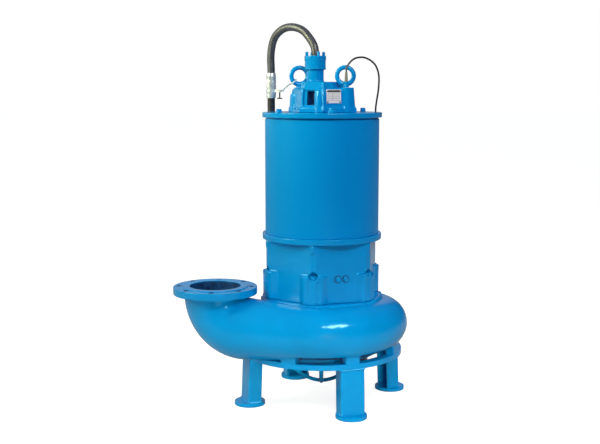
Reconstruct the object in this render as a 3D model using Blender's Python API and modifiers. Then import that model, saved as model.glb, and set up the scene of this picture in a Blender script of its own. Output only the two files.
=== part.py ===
"""Submersible pump: a motor drum on a volute casing, standing on four channel legs.

Metres, +Z up. The origin is on the floor, under the middle of the pump without its cables.
Shapes are placed from the shaft's axis, which the empty pump_axis carries.
"""

import math

import bmesh
import bpy
from mathutils import Matrix, Vector

# Gap between pieces that touch
GAP = 0.0003

# Heights above the floor
FOOT_TOP = 0.015
RING_BOTTOM = 0.197
RING_TOP = 0.219
CASING_BOTTOM = 0.225
VOLUTE_HEIGHT = 0.327
HOUSING_BOTTOM = 0.438
LUG_SEAT = 0.537
LUG_TOP = 0.551
JACKET_RING_BOTTOM = 0.673
JACKET_RING_TOP = 0.696
TOP_FLANGE_BOTTOM = 1.167
TOP_FLANGE_TOP = 1.187
COVER_SHOULDER = 1.283
COVER_TOP = 1.309
CABLE_BOSS_TOP = 1.358
GLAND_TOP = 1.413

# Volute: its outer reach and its section shrink from the throat round to the tongue
THROAT_ANGLE = -90
TONGUE_ANGLE = 240
SPIRAL_STEP = 10
THROAT_REACH = 0.383
REACH_PER_DEGREE = 0.00026
THROAT_RADIUS = 0.108
RADIUS_PER_DEGREE = 0.00011
WALL = 0.022

# Discharge: a DN200 flange that faces up, at the end of a 90 degree bend
FLANGE_X = -0.351
FLANGE_RADIUS = 0.170
FLANGE_THICKNESS = 0.032
FLANGE_FACE = 0.492
FLANGE_FACE_RADIUS = 0.133
FLANGE_FACE_STEP = 0.003
FLANGE_BOLT_CIRCLE = 0.1475
FLANGE_HOLE_RADIUS = 0.011
NECK_RADIUS = 0.125
BORE_RADIUS = 0.103
BEND_RADIUS = FLANGE_FACE - FLANGE_THICKNESS - VOLUTE_HEIGHT
NOZZLE_Y = THROAT_RADIUS - THROAT_REACH

# Base
LEG_ANGLES = (-45, 45, 135, 225)
FOOT_REACH = 0.3157
FOOT_RADIUS = 0.0625
LEG_WIDTH = 0.102
LEG_DEPTH = 0.055
LEG_WALL = 0.010
LEG_REACH_TOP = 0.331
LEG_REACH_BOTTOM = 0.338
RING_RADIUS = 0.332
RING_INNER = 0.292
PILLAR_WIDTH = 0.062
PILLAR_REACH_IN = 0.286
PILLAR_REACH_OUT = 0.331
PILLAR_SHOULDER = (0.305, 0.304)
PILLAR_FACE_TOP = 0.247
BELLY_CLEARANCE = 0.0008
SLOT_ANGLES = (-67.5, -22.5, 22.5, 67.5, 112.5, 157.5)
SLOT_TOP = 0.250
SLOT_REACH_IN = 0.262
SLOT_REACH_OUT = 0.380

# Suction side
SUCTION_COVER_RADIUS = 0.235
SUCTION_COVER_BOTTOM = 0.203
SUCTION_BORE = 0.095
BELL_BOTTOM = 0.165
BELL_RADIUS = 0.118
BELL_LIP = 0.012
EYE_RADIUS = 0.100
EYE_CEILING = 0.300
GUARD_BOTTOM = 0.059
GUARD_REACH = 0.180
GUARD_BAR = 0.008
GUARD_TURN = 22.5
HUB_RADIUS = 0.092
HUB_PLATE = 0.008
BOSS_CONE = ((0.034, 0.014), (0.026, 0.040))
VANE_STEP = 16
VANE_INNER = (0.020, 0.0045)
VANE_OUTER = (0.032, 0.0041)
VANE_DEPTH = 0.036

# Motor side
CORNER_ANGLES = tuple(45 + 60 * corner for corner in range(6))
CORNER_REACH = 0.245
LUG_REACH = 0.249
LUG_WIDTH = 0.092
LUG_DEPTH = 0.050
LUG_MARGIN = 0.003
COLUMN_BOLT_REACH = 0.235
GROOVE_RADIUS = 0.018
GROOVE_TOP = 0.655
GROOVE_POINT = 0.020
JACKET_RING_RADIUS = 0.2442
DRUM_RADIUS = 0.2322
TOP_FLANGE_RADIUS = 0.243
TOP_BOLT_CIRCLE = 0.213
TOP_BOLT_ANGLES = (-120, 60, 120)
TOP_PLUG_ANGLE = -56.5
COLUMN_BOLT = (0.024, 0.012, 0.015, 0.003)
TOP_BOLT = (0.019, 0.012, 0.0120, 0.003)
TOP_PLUG = (0.030, 0.012, 0.0175, 0.008)
GLAND_BOLT = (0.0105, 0.010, 0.0065, 0.006)
PLUG_RADIUS = 0.0115
PLUG_HEAD = 0.006
PLUG_SPREAD = 0.017
PLUG_HEIGHT = 0.534

# Head
COVER_POINT = 0.144
COVER_FLAT_X = 0.050
COVER_FLAT_Y = 0.104
COVER_TAPER = 0.94
COVER_SLOPE_TAPER = 0.88
COVER_SLOPE = 0.008
COVER_EDGE = 0.004
COVER_FOOT = ((1.055, 0.0), (1.045, 0.016), (0.995, 0.026))
DECK_FOOT = ((-0.076, 0.056), (-0.043, 0.090), (0.043, 0.090), (0.074, 0.056))
DECK_TOP = ((-0.066, 0.050), (-0.040, 0.078), (0.040, 0.078), (0.062, 0.050))
POCKET_SIZE = (0.034, 0.060, 0.060)
POCKET_CENTRE = (-0.009, -0.100, 1.247)
BOSS_REACH = 0.101
BOSS_RADIUS = 0.034
BOSS_FOOT_RADIUS = 0.042
BOSS_TOP = 1.286
CABLE_X = -0.031
CABLE_BOSS_RADIUS = 0.0345
CABLE_BOSS_FOOT = 0.003
GLAND_RADIUS = 0.0440
GLAND_NECK_RADIUS = 0.0425
GLAND_LIP = 0.005
GLAND_BOLT_CIRCLE = 0.0365
EYE_RING = 0.0335
EYE_BAR = 0.0076
EYE_HEIGHT = 1.333
EYE_TURN_LEFT = 35
EYE_TURN_RIGHT = 23
EYE_COLLAR = (0.014, 0.008)
PLATE_SIZE = (0.064, 0.054, 0.0015)
PLATE_ALONG = 0.047
PLATE_RISE = 0.064

# Cables
POWER_RADIUS = 0.016
SENSOR_RADIUS = 0.00375
SENSOR_GLAND = (0.113, -0.021)
SENSOR_GLAND_TOP = 1.309
SENSOR_GLAND_RADIUS = 0.0075
SENSOR_NUT = (0.0095, 0.010)
BOOT_TOP = 1.347
BOOT_RADII = (0.0073, 0.0048)
POWER_DROP = (-0.259, 0.060)
GRIP_BOTTOM = 1.242
GRIP_TOP = 1.346
GRIP_RADIUS = 0.0205
GRIP_TAPER = (0.002, 0.012)
LUG_SIZE = (0.030, 0.014, 0.010)
LUG_OUT = 0.012
LUG_HEIGHT = 1.272
SCREW_OUT = 0.019
SCREW_RADIUS = 0.003
SCREW_FOOT = 1.240
SCREW_BAR = (0.022, 0.005, 0.005)
ROD_RADIUS = 0.003
ROD_BENDS = ((-0.193, 0.050, 1.282), (-0.158, 0.028, 1.300))
COIL_CENTRE = (-0.236, 0.552)
POWER_COIL_MIDDLE = 0.190
POWER_COIL_ACROSS = 2
POWER_COIL_LAYERS = 3
SENSOR_COIL_MIDDLE = 0.045
SENSOR_COIL_ACROSS = 5
SENSOR_COIL_LAYERS = 5

PAINT = ("blue_enamel", (0.0, 0.22, 0.56), 0.28, 0.0)
RUBBER = ("black_rubber", (0.05, 0.05, 0.055), 0.6, 0.0)
BOOT_RUBBER = ("grey_rubber", (0.20, 0.18, 0.16), 0.7, 0.0)
ZINC = ("zinc_plate", (0.60, 0.62, 0.63), 0.4, 1.0)
STAINLESS = ("stainless_plate", (0.55, 0.53, 0.50), 0.35, 1.0)
IRON = ("cast_iron", (0.12, 0.12, 0.13), 0.6, 0.8)


def polar(reach, angle, height=0.0):
    """The point at this distance from the axis, this many degrees round from +X."""
    turn = math.radians(angle)
    return Vector((reach * math.cos(turn), reach * math.sin(turn), height))


def spiral_section(angle):
    """Centre and radius of the volute's round section at this angle."""
    turn = angle - THROAT_ANGLE
    radius = THROAT_RADIUS - RADIUS_PER_DEGREE * turn
    reach = THROAT_REACH - REACH_PER_DEGREE * turn
    return polar(reach - radius, angle, VOLUTE_HEIGHT), radius


def axis_offset():
    """Where the shaft's axis stands, so that the origin is under the middle of the pump."""
    spiral = [spiral_section(angle) for angle in range(THROAT_ANGLE, TONGUE_ANGLE)]
    high_x = max(centre.x + radius * centre.x / centre.xy.length for centre, radius in spiral)
    high_y = max(centre.y + radius * centre.y / centre.xy.length for centre, radius in spiral)
    low_x = FLANGE_X - FLANGE_RADIUS
    low_y = NOZZLE_Y - FLANGE_RADIUS
    return Vector((-(low_x + high_x) / 2, -(low_y + high_y) / 2, 0))


def clear_scene():
    for obj in list(bpy.data.objects):
        bpy.data.objects.remove(obj)


def collection(name):
    made = bpy.data.collections.new(name)
    bpy.context.scene.collection.children.link(made)
    return made


def material(finish):
    name, colour, roughness, metallic = finish
    found = bpy.data.materials.get(name)
    if found:
        return found
    made = bpy.data.materials.new(name)
    made.use_nodes = True
    made.diffuse_color = (*colour, 1)
    shader = made.node_tree.nodes["Principled BSDF"]
    shader.inputs["Base Color"].default_value = (*colour, 1)
    shader.inputs["Roughness"].default_value = roughness
    shader.inputs["Metallic"].default_value = metallic
    return made


def place(name, data, finish, location=(0, 0, 0), turn=0.0):
    """An object of the pump, carried by the axis and turned about its own Z."""
    obj = bpy.data.objects.new(name, data)
    obj.parent = pump_axis
    obj.location = location
    obj.rotation_euler = (0, 0, math.radians(turn))
    if finish:
        data.materials.append(material(finish))
        parts.objects.link(obj)
    else:
        cutters.objects.link(obj)
        obj.hide_render = True
        obj.display_type = "WIRE"
    return obj


def smooth(mesh, angle=35):
    mesh.shade_smooth()
    mesh.set_sharp_from_angle(angle=math.radians(angle))
    return mesh


def from_bmesh(name, bm):
    bmesh.ops.recalc_face_normals(bm, faces=bm.faces)
    mesh = bpy.data.meshes.new(name)
    bm.to_mesh(mesh)
    bm.free()
    return smooth(mesh)


def cylinder_mesh(name, radius, low, high, sides=48, top_radius=None):
    bm = bmesh.new()
    bmesh.ops.create_cone(
        bm,
        cap_ends=True,
        segments=sides,
        radius1=radius,
        radius2=radius if top_radius is None else top_radius,
        depth=high - low,
        matrix=Matrix.Translation((0, 0, (low + high) / 2)),
    )
    return from_bmesh(name, bm)


def box_mesh(name, size, centre=(0, 0, 0)):
    bm = bmesh.new()
    bmesh.ops.create_cube(bm, size=1)
    bmesh.ops.scale(bm, vec=size, verts=bm.verts)
    bmesh.ops.translate(bm, vec=centre, verts=bm.verts)
    return from_bmesh(name, bm)


def hull_mesh(name, points):
    """The tightest closed shape round these points."""
    bm = bmesh.new()
    for point in points:
        bm.verts.new(point)
    made = bmesh.ops.convex_hull(bm, input=bm.verts)
    unused = {item for item in made["geom_interior"] + made["geom_unused"]}
    spare = [item for item in unused if isinstance(item, bmesh.types.BMVert)]
    bmesh.ops.delete(bm, geom=spare, context="VERTS")
    bmesh.ops.dissolve_limit(bm, angle_limit=0.001, verts=bm.verts, edges=bm.edges)
    return from_bmesh(name, bm)


def turned(name, profile, finish, location=(0, 0, 0), steps=64, closed=False):
    """A profile of (radius, height) points, top to bottom on its outer side, turned about Z."""
    mesh = bpy.data.meshes.new(name)
    edges = [(i, i + 1) for i in range(len(profile) - 1)]
    if closed:
        edges.append((len(profile) - 1, 0))
    mesh.from_pydata([(radius, 0, height) for radius, height in profile], edges, [])
    obj = place(name, mesh, finish, location)
    screw = obj.modifiers.new("turn", "SCREW")
    screw.steps = steps
    screw.render_steps = steps
    screw.use_merge_vertices = True
    screw.merge_threshold = 0.0001
    screw.use_smooth_shade = False
    return obj


def mesh_of(obj):
    """The object's evaluated mesh, closed where loose caps meet its sides, and the object removed."""
    bpy.context.view_layer.update()
    graph = bpy.context.evaluated_depsgraph_get()
    mesh = bpy.data.meshes.new_from_object(obj.evaluated_get(graph))
    bm = bmesh.new()
    bm.from_mesh(mesh)
    bmesh.ops.remove_doubles(bm, verts=bm.verts, dist=0.00005)
    bmesh.ops.recalc_face_normals(bm, faces=bm.faces)
    bm.to_mesh(mesh)
    bm.free()
    mesh.materials.clear()
    bpy.data.objects.remove(obj)
    return smooth(mesh)


def tube(name, points, radius, finish, resolution=3, radii=None):
    """A round bar or cable along these points."""
    curve = bpy.data.curves.new(name, "CURVE")
    curve.dimensions = "3D"
    curve.bevel_depth = radius
    curve.bevel_resolution = resolution
    curve.use_fill_caps = True
    spline = curve.splines.new("POLY")
    spline.points.add(len(points) - 1)
    for index, point in enumerate(points):
        spline.points[index].co = (*point, 1)
        spline.points[index].radius = radii[index] / radius if radii else 1
    return place(name, curve, finish)


def plate_mesh(name, outline, low, high):
    """A flat outline given thickness between two heights."""
    curve = bpy.data.curves.new(name, "CURVE")
    curve.dimensions = "2D"
    curve.fill_mode = "BOTH"
    curve.extrude = (high - low) / 2
    spline = curve.splines.new("POLY")
    spline.points.add(len(outline) - 1)
    for index, (x, y) in enumerate(outline):
        spline.points[index].co = (x, y, 0, 1)
    spline.use_cyclic_u = True
    mesh = mesh_of(place(name, curve, None))
    mesh.transform(Matrix.Translation((0, 0, (low + high) / 2)))
    return mesh


def joined(name, meshes):
    """Several closed meshes as one, for a cutter that cuts in many places."""
    bm = bmesh.new()
    for mesh in meshes:
        bm.from_mesh(mesh)
    made = bpy.data.meshes.new(name)
    bm.to_mesh(made)
    bm.free()
    return made


def moved(mesh, location=(0, 0, 0), turn=0.0):
    """A copy of a mesh, turned about Z and then moved."""
    copy = mesh.copy()
    copy.transform(Matrix.Translation(location) @ Matrix.Rotation(math.radians(turn), 4, "Z"))
    return copy


def boolean(obj, operation, name, mesh, crosses_itself=False):
    """Cut a mesh from an object, or join it on."""
    tool = place(name, mesh, None)
    step = obj.modifiers.new(name, "BOOLEAN")
    step.operation = operation
    step.solver = "EXACT"
    step.object = tool
    step.use_self = crosses_itself
    return tool


def smooth_route(route, spacing):
    """Points at about this spacing on one smooth curve through the route's own points."""
    route = [Vector(point) for point in route]
    ends = [2 * route[0] - route[1], *route, 2 * route[-1] - route[-2]]
    fine = [route[0]]
    for before, start, stop, after in zip(ends, ends[1:], ends[2:], ends[3:]):
        pull_in = (stop - before) / 2
        pull_out = (after - start) / 2
        pieces = max(1, round((stop - start).length / spacing))
        for piece in range(1, pieces + 1):
            t = piece / pieces
            fine.append(
                (2 * t**3 - 3 * t**2 + 1) * start
                + (t**3 - 2 * t**2 + t) * pull_in
                + (3 * t**2 - 2 * t**3) * stop
                + (t**3 - t**2) * pull_out
            )
    return fine


def volute_path(extra=0.0):
    """Centres and radii of the volute's sections, from tongue to throat, nozzle, bend and flange."""
    angles = range(TONGUE_ANGLE, THROAT_ANGLE - 1, -SPIRAL_STEP)
    path = [spiral_section(angle) for angle in angles]
    path += nozzle_path(NECK_RADIUS, THROAT_RADIUS)[1:]
    return [centre for centre, _ in path], [radius + extra for _, radius in path]


def nozzle_path(neck_radius, throat_radius, start=0.0, rise=0.006):
    """The straight nozzle that widens to the neck, then the bend up to the flange."""
    bend_x = FLANGE_X + BEND_RADIUS
    steps = 5
    path = []
    for step in range(steps + 1):
        x = start + (bend_x - start) * step / steps
        widen = (neck_radius - throat_radius) * x / bend_x
        path.append((Vector((x, NOZZLE_Y, VOLUTE_HEIGHT)), throat_radius + widen))
    turns = 9
    for turn in range(1, turns + 1):
        angle = math.radians(90 * turn / turns)
        x = bend_x - BEND_RADIUS * math.sin(angle)
        height = VOLUTE_HEIGHT + BEND_RADIUS * (1 - math.cos(angle))
        path.append((Vector((x, NOZZLE_Y, height)), neck_radius))
    top = Vector((FLANGE_X, NOZZLE_Y, path[-1][0].z + rise))
    path.append((top, neck_radius))
    return path


def volute_casing():
    """Spiral tube, flat core under the motor, pillars down to the base ring, and discharge flange."""
    centres, radii = volute_path()
    mesh = mesh_of(tube("volute_tube", centres, THROAT_RADIUS, None, 10, radii))
    casing = place("volute_casing", mesh, PAINT)
    boolean(casing, "DIFFERENCE", "casing_slots", joined("slots", slot_meshes()), crosses_itself=True)
    core_top = HOUSING_BOTTOM - GAP
    core = cylinder_mesh("core", CORNER_REACH + 0.001, CASING_BOTTOM, core_top, 60)
    boolean(casing, "UNION", "casing_core", core, crosses_itself=True)
    lugs = lug_meshes(VOLUTE_HEIGHT + LUG_DEPTH, core_top, LUG_MARGIN)
    boolean(casing, "UNION", "casing_lugs", joined("lugs", lugs))
    boolean(casing, "UNION", "casing_pillars", joined("pillars", pillar_meshes()))
    flange_low = FLANGE_FACE - FLANGE_THICKNESS
    flange_high = FLANGE_FACE - FLANGE_FACE_STEP
    flange_place = (FLANGE_X, NOZZLE_Y, 0)
    flange = cylinder_mesh("flange", FLANGE_RADIUS, flange_low, flange_high, 48)
    boolean(casing, "UNION", "discharge_flange", moved(flange, flange_place))
    face = cylinder_mesh("face", FLANGE_FACE_RADIUS, flange_low + 0.001, FLANGE_FACE, 48)
    boolean(casing, "UNION", "discharge_face", moved(face, flange_place))
    hole = cylinder_mesh("hole", FLANGE_HOLE_RADIUS, flange_low - 0.03, FLANGE_FACE + 0.01, 12)
    holes = [
        moved(hole, Vector(flange_place) + polar(FLANGE_BOLT_CIRCLE, 22.5 + 45 * turn))
        for turn in range(8)
    ]
    boolean(casing, "DIFFERENCE", "flange_holes", joined("holes", holes))
    bore = nozzle_path(BORE_RADIUS, THROAT_RADIUS - WALL, start=-0.02, rise=FLANGE_THICKNESS + 0.02)
    bore_tube = tube(
        "bore_tube", [centre for centre, _ in bore], BORE_RADIUS, None, 6, [r for _, r in bore]
    )
    boolean(casing, "DIFFERENCE", "discharge_bore", mesh_of(bore_tube))
    eye = cylinder_mesh("eye", EYE_RADIUS, CASING_BOTTOM - 0.02, EYE_CEILING, 36)
    boolean(casing, "DIFFERENCE", "suction_eye", eye)
    return casing


def pillar_meshes():
    """Eight lugs under the volute, each sloping back into it above the slot beside it."""
    outline = [
        (PILLAR_REACH_IN, RING_TOP + GAP),
        (PILLAR_REACH_OUT, RING_TOP + GAP),
        (PILLAR_REACH_OUT, PILLAR_FACE_TOP),
        PILLAR_SHOULDER,
        (PILLAR_REACH_IN, PILLAR_SHOULDER[1]),
    ]
    half = PILLAR_WIDTH / 2
    points = [(reach, side, height) for reach, height in outline for side in (-half, half)]
    pillar = hull_mesh("pillar", points)
    return [moved(pillar, turn=45 * turn) for turn in range(8)]


def slot_meshes():
    """The space under the volute between two pillars, as far as the spiral reaches."""
    half = PILLAR_WIDTH / 2
    slots = []
    for angle in SLOT_ANGLES:
        points = []
        for pillar, side in ((angle - 22.5, 1), (angle + 22.5, -1)):
            across = polar(side * half, pillar + 90)
            for reach in (SLOT_REACH_IN, SLOT_REACH_OUT):
                points += [polar(reach, pillar, height) + across for height in (RING_BOTTOM, SLOT_TOP)]
        slots.append(hull_mesh("slot", points))
    return slots


def base_ring():
    """The flat ring that the pillars stand on, cleared for the belly of the discharge nozzle."""
    profile = [
        (RING_INNER, RING_TOP),
        (RING_RADIUS, RING_TOP),
        (RING_RADIUS, RING_BOTTOM),
        (RING_INNER, RING_BOTTOM),
    ]
    ring = turned("base_ring", profile, PAINT, steps=60, closed=True)
    centres, radii = volute_path(extra=BELLY_CLEARANCE)
    belly = mesh_of(tube("belly_tube", centres, THROAT_RADIUS, None, 10, radii))
    boolean(ring, "DIFFERENCE", "ring_belly", belly, crosses_itself=True)


def leg_mesh():
    """A channel that opens towards the axis and leans out a little on its way down."""
    half = LEG_WIDTH / 2
    outline = [
        (0, -half),
        (0, half),
        (-LEG_DEPTH, half),
        (-LEG_DEPTH, half - LEG_WALL),
        (-LEG_WALL, half - LEG_WALL),
        (-LEG_WALL, LEG_WALL - half),
        (-LEG_DEPTH, LEG_WALL - half),
        (-LEG_DEPTH, -half),
    ]
    low = FOOT_TOP + GAP
    high = RING_BOTTOM - GAP
    mesh = plate_mesh("leg", outline, low, high)
    lean = (LEG_REACH_TOP - LEG_REACH_BOTTOM) / (high - low)
    slant = Matrix.Identity(4)
    slant[0][2] = lean
    mesh.transform(Matrix.Translation((LEG_REACH_BOTTOM - lean * low, 0, 0)) @ slant)
    return mesh


def base():
    base_ring()
    leg = leg_mesh()
    foot = cylinder_mesh("foot", FOOT_RADIUS, 0, FOOT_TOP, 36)
    for number, angle in enumerate(LEG_ANGLES, 1):
        place(f"leg_{number}", leg.copy(), PAINT, turn=angle)
        place(f"foot_pad_{number}", foot.copy(), PAINT, polar(FOOT_REACH, angle))


def rounded(obj, width):
    edge = obj.modifiers.new("rounded", "BEVEL")
    edge.width = width
    edge.segments = 2
    edge.limit_method = "ANGLE"
    edge.angle_limit = math.radians(40)
    edge.use_clamp_overlap = True


def suction_cover():
    """The cover that closes the casing from below, with a short bell mouth in its middle."""
    profile = [
        (SUCTION_BORE, CASING_BOTTOM - GAP),
        (SUCTION_COVER_RADIUS, CASING_BOTTOM - GAP),
        (SUCTION_COVER_RADIUS, SUCTION_COVER_BOTTOM),
        (BELL_RADIUS + BELL_LIP, SUCTION_COVER_BOTTOM),
        (BELL_RADIUS, SUCTION_COVER_BOTTOM - BELL_LIP),
        (BELL_RADIUS, BELL_BOTTOM),
        (BELL_RADIUS - BELL_LIP, BELL_BOTTOM),
        (SUCTION_BORE, BELL_BOTTOM + BELL_LIP),
    ]
    cover = turned("suction_cover", profile, PAINT, steps=48, closed=True)
    centres, radii = volute_path(extra=BELLY_CLEARANCE)
    belly = mesh_of(tube("cover_belly_tube", centres, THROAT_RADIUS, None, 10, radii))
    boolean(cover, "DIFFERENCE", "cover_belly", belly, crosses_itself=True)


def guard_bar(turn):
    """One bar that hangs from the suction cover in a bow under the bell mouth."""
    points = []
    steps = 16
    for step in range(steps + 1):
        across = -1 + 2 * step / steps
        low = GUARD_BOTTOM + GUARD_BAR
        height = low + (SUCTION_COVER_BOTTOM - GUARD_BAR - GAP - low) * across**2
        points.append(polar(GUARD_REACH * across, turn, height))
    foot = [
        Vector((*end.xy, SUCTION_COVER_BOTTOM - GAP)) for end in (points[0], points[-1])
    ]
    return mesh_of(tube("guard_bar", [foot[0], *points, foot[1]], GUARD_BAR, None, 2))


def suction_guard():
    """Two crossed bars under the suction mouth that keep large solids out."""
    guard = place("suction_guard", guard_bar(GUARD_TURN), PAINT)
    boolean(guard, "UNION", "guard_cross", guard_bar(GUARD_TURN + 90))


def impeller():
    """The disc, hub and two curved vanes that show up the suction eye."""
    cone = [(radius, EYE_CEILING - depth) for radius, depth in BOSS_CONE]
    hub = [
        (0, EYE_CEILING - GAP),
        (HUB_RADIUS, EYE_CEILING - GAP),
        (HUB_RADIUS, EYE_CEILING - HUB_PLATE),
        *cone,
        (0, cone[-1][1] - HUB_PLATE),
    ]
    body = turned("impeller", hub, IRON, steps=40)
    vanes = []
    for start in (0, 180):
        inner, outer = (
            [polar(root + growth * step, start + VANE_STEP * step).xy for step in range(15)]
            for root, growth in (VANE_INNER, VANE_OUTER)
        )
        low = EYE_CEILING - VANE_DEPTH
        vanes.append(plate_mesh("vane", inner + outer[::-1], low, EYE_CEILING - HUB_PLATE / 2))
    boolean(body, "UNION", "impeller_vanes", joined("vanes", vanes))


def lug_meshes(low, high, margin=0.0):
    """A flat-faced lug at each corner of the housing, from one height to another."""
    size = (LUG_DEPTH + margin, LUG_WIDTH + 2 * margin, high - low)
    middle = (LUG_REACH - LUG_DEPTH / 2 + margin / 2, 0, (low + high) / 2)
    lug = box_mesh("lug", size, middle)
    return [moved(lug, turn=angle) for angle in CORNER_ANGLES]


def lower_housing():
    """Six-sided bearing housing with a lug at each corner and a groove above its bolt seat."""
    low = HOUSING_BOTTOM
    high = JACKET_RING_BOTTOM - GAP
    corners = [polar(CORNER_REACH, angle).xy for angle in CORNER_ANGLES]
    housing = place("lower_housing", plate_mesh("housing", corners, low, high), PAINT)
    boolean(housing, "UNION", "housing_lugs", joined("lugs", lug_meshes(low, LUG_TOP)))
    point_low = GROOVE_TOP - GROOVE_POINT
    shaft = cylinder_mesh("shaft", GROOVE_RADIUS, LUG_SEAT, point_low, 24)
    point = cylinder_mesh("point", GROOVE_RADIUS, point_low, GROOVE_TOP, 24, GROOVE_RADIUS / 6)
    for cutter_name, cutter in (("groove", shaft), ("groove_point", point)):
        cuts = [moved(cutter, polar(COLUMN_BOLT_REACH, angle), angle) for angle in CORNER_ANGLES]
        boolean(housing, "DIFFERENCE", cutter_name, joined(cutter_name, cuts))


def bolt_mesh(across, head, washer_radius, washer):
    """A hexagon head of this width across its flats and this height, on its washer."""
    point = across / 2 / math.cos(math.pi / 6)
    hexagon = cylinder_mesh("head", point, washer / 2, washer + head, 6)
    bolt = place("bolt", cylinder_mesh("washer", washer_radius, 0, washer, 16), None)
    tool = boolean(bolt, "UNION", "bolt_head", hexagon)
    mesh = mesh_of(bolt)
    bpy.data.objects.remove(tool)
    return mesh


def bolts():
    column_bolt = bolt_mesh(*COLUMN_BOLT)
    for number, angle in enumerate(CORNER_ANGLES, 1):
        seat = polar(COLUMN_BOLT_REACH, angle, LUG_SEAT + GAP)
        place(f"column_bolt_{number}", column_bolt.copy(), PAINT, seat, angle)
    flange_bolt = bolt_mesh(*TOP_BOLT)
    for number, angle in enumerate(TOP_BOLT_ANGLES, 1):
        seat = polar(TOP_BOLT_CIRCLE, angle, TOP_FLANGE_TOP + GAP)
        place(f"flange_bolt_{number}", flange_bolt.copy(), PAINT, seat, angle)
    seat = polar(TOP_BOLT_CIRCLE, TOP_PLUG_ANGLE, TOP_FLANGE_TOP + GAP)
    place("flange_plug", bolt_mesh(*TOP_PLUG), PAINT, seat, TOP_PLUG_ANGLE)
    gland_bolt = bolt_mesh(*GLAND_BOLT)
    for number in range(4):
        angle = 45 + 90 * number
        seat = polar(GLAND_BOLT_CIRCLE, angle, GLAND_TOP + GAP) + Vector((CABLE_X, 0, 0))
        place(f"gland_bolt_{number + 1}", gland_bolt.copy(), PAINT, seat, angle)


def oil_plugs():
    """Two screwed plugs side by side on the housing's front face."""
    middle = -45
    face = CORNER_REACH * math.cos(math.radians(30))
    turn = Matrix.Rotation(math.radians(middle - 30), 4, "Z")
    out = Matrix.Rotation(math.radians(90), 4, "Y")
    for number, side in enumerate((-PLUG_SPREAD, PLUG_SPREAD), 1):
        mesh = cylinder_mesh("plug", PLUG_RADIUS, face + GAP, face + PLUG_HEAD, 24)
        mesh.transform(out)
        mesh.transform(Matrix.Translation((0, side, PLUG_HEIGHT)))
        mesh.transform(turn @ Matrix.Rotation(math.radians(30), 4, "Z"))
        place(f"oil_plug_{number}", mesh, PAINT)


def motor():
    ring = [
        (0, JACKET_RING_TOP),
        (JACKET_RING_RADIUS, JACKET_RING_TOP),
        (JACKET_RING_RADIUS, JACKET_RING_BOTTOM),
        (0, JACKET_RING_BOTTOM),
    ]
    turned("jacket_ring", ring, PAINT)
    low = JACKET_RING_TOP + GAP
    high = TOP_FLANGE_BOTTOM - GAP
    turned("motor_jacket", [(0, high), (DRUM_RADIUS, high), (DRUM_RADIUS, low), (0, low)], PAINT)
    flange = [
        (0, TOP_FLANGE_TOP),
        (TOP_FLANGE_RADIUS, TOP_FLANGE_TOP),
        (TOP_FLANGE_RADIUS, TOP_FLANGE_BOTTOM),
        (0, TOP_FLANGE_BOTTOM),
    ]
    turned("top_flange", flange, PAINT)


def cover_outline(scale, height):
    """The head cover's six-sided plan, its points along X and its flats across Y."""
    corners = [
        (COVER_POINT, 0),
        (COVER_FLAT_X, COVER_FLAT_Y),
        (-COVER_FLAT_X, COVER_FLAT_Y),
        (-COVER_POINT, 0),
        (-COVER_FLAT_X, -COVER_FLAT_Y),
        (COVER_FLAT_X, -COVER_FLAT_Y),
    ]
    return [(x * scale, y * scale, height) for x, y in corners]


def head_cover():
    """Tapered terminal housing with an eyebolt boss at each end and a bolt pocket in each flat."""
    low = TOP_FLANGE_TOP + GAP
    block = cover_outline(1, low) + cover_outline(COVER_TAPER, COVER_SHOULDER - COVER_SLOPE)
    block += cover_outline(COVER_SLOPE_TAPER, COVER_SHOULDER)
    cover = place("head_cover", hull_mesh("cover", block), PAINT)
    rounded(cover, COVER_EDGE)
    foot = [point for scale, rise in COVER_FOOT for point in cover_outline(scale, low + rise)]
    boolean(cover, "UNION", "cover_foot", hull_mesh("foot", foot))
    deck_low = COVER_SHOULDER - COVER_SLOPE / 2
    deck = [(x, side * y, deck_low) for x, y in DECK_FOOT for side in (-1, 1)]
    deck += [(x, side * y, COVER_TOP) for x, y in DECK_TOP for side in (-1, 1)]
    boolean(cover, "UNION", "cover_deck", hull_mesh("deck", deck))
    boss = cylinder_mesh("boss", BOSS_FOOT_RADIUS, low, BOSS_TOP, 32, BOSS_RADIUS)
    bosses = [moved(boss, (x, 0, 0)) for x in (-BOSS_REACH, BOSS_REACH)]
    boolean(cover, "UNION", "eyebolt_bosses", joined("bosses", bosses))
    pocket = box_mesh("pocket", POCKET_SIZE, POCKET_CENTRE)
    pockets = [pocket, moved(pocket, turn=180)]
    boolean(cover, "DIFFERENCE", "bolt_pockets", joined("pockets", pockets))


def cable_boss():
    profile = [
        (0, CABLE_BOSS_TOP),
        (CABLE_BOSS_RADIUS, CABLE_BOSS_TOP),
        (CABLE_BOSS_RADIUS, COVER_TOP + CABLE_BOSS_FOOT),
        (CABLE_BOSS_RADIUS + CABLE_BOSS_FOOT, COVER_TOP + GAP),
        (0, COVER_TOP + GAP),
    ]
    turned("cable_boss", profile, PAINT, (CABLE_X, 0, 0), steps=40)


def cable_gland():
    """The round gland that clamps the power cable, with a lip at its top and foot."""
    low = CABLE_BOSS_TOP + GAP
    profile = [
        (0, GLAND_TOP),
        (GLAND_RADIUS, GLAND_TOP),
        (GLAND_RADIUS, GLAND_TOP - 3 * GLAND_LIP),
        (GLAND_NECK_RADIUS, GLAND_TOP - 4 * GLAND_LIP),
        (GLAND_NECK_RADIUS, low + GLAND_LIP),
        (GLAND_RADIUS, low + GLAND_LIP),
        (GLAND_RADIUS, low),
        (0, low),
    ]
    turned("cable_gland", profile, PAINT, (CABLE_X, 0, 0), steps=48)


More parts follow.
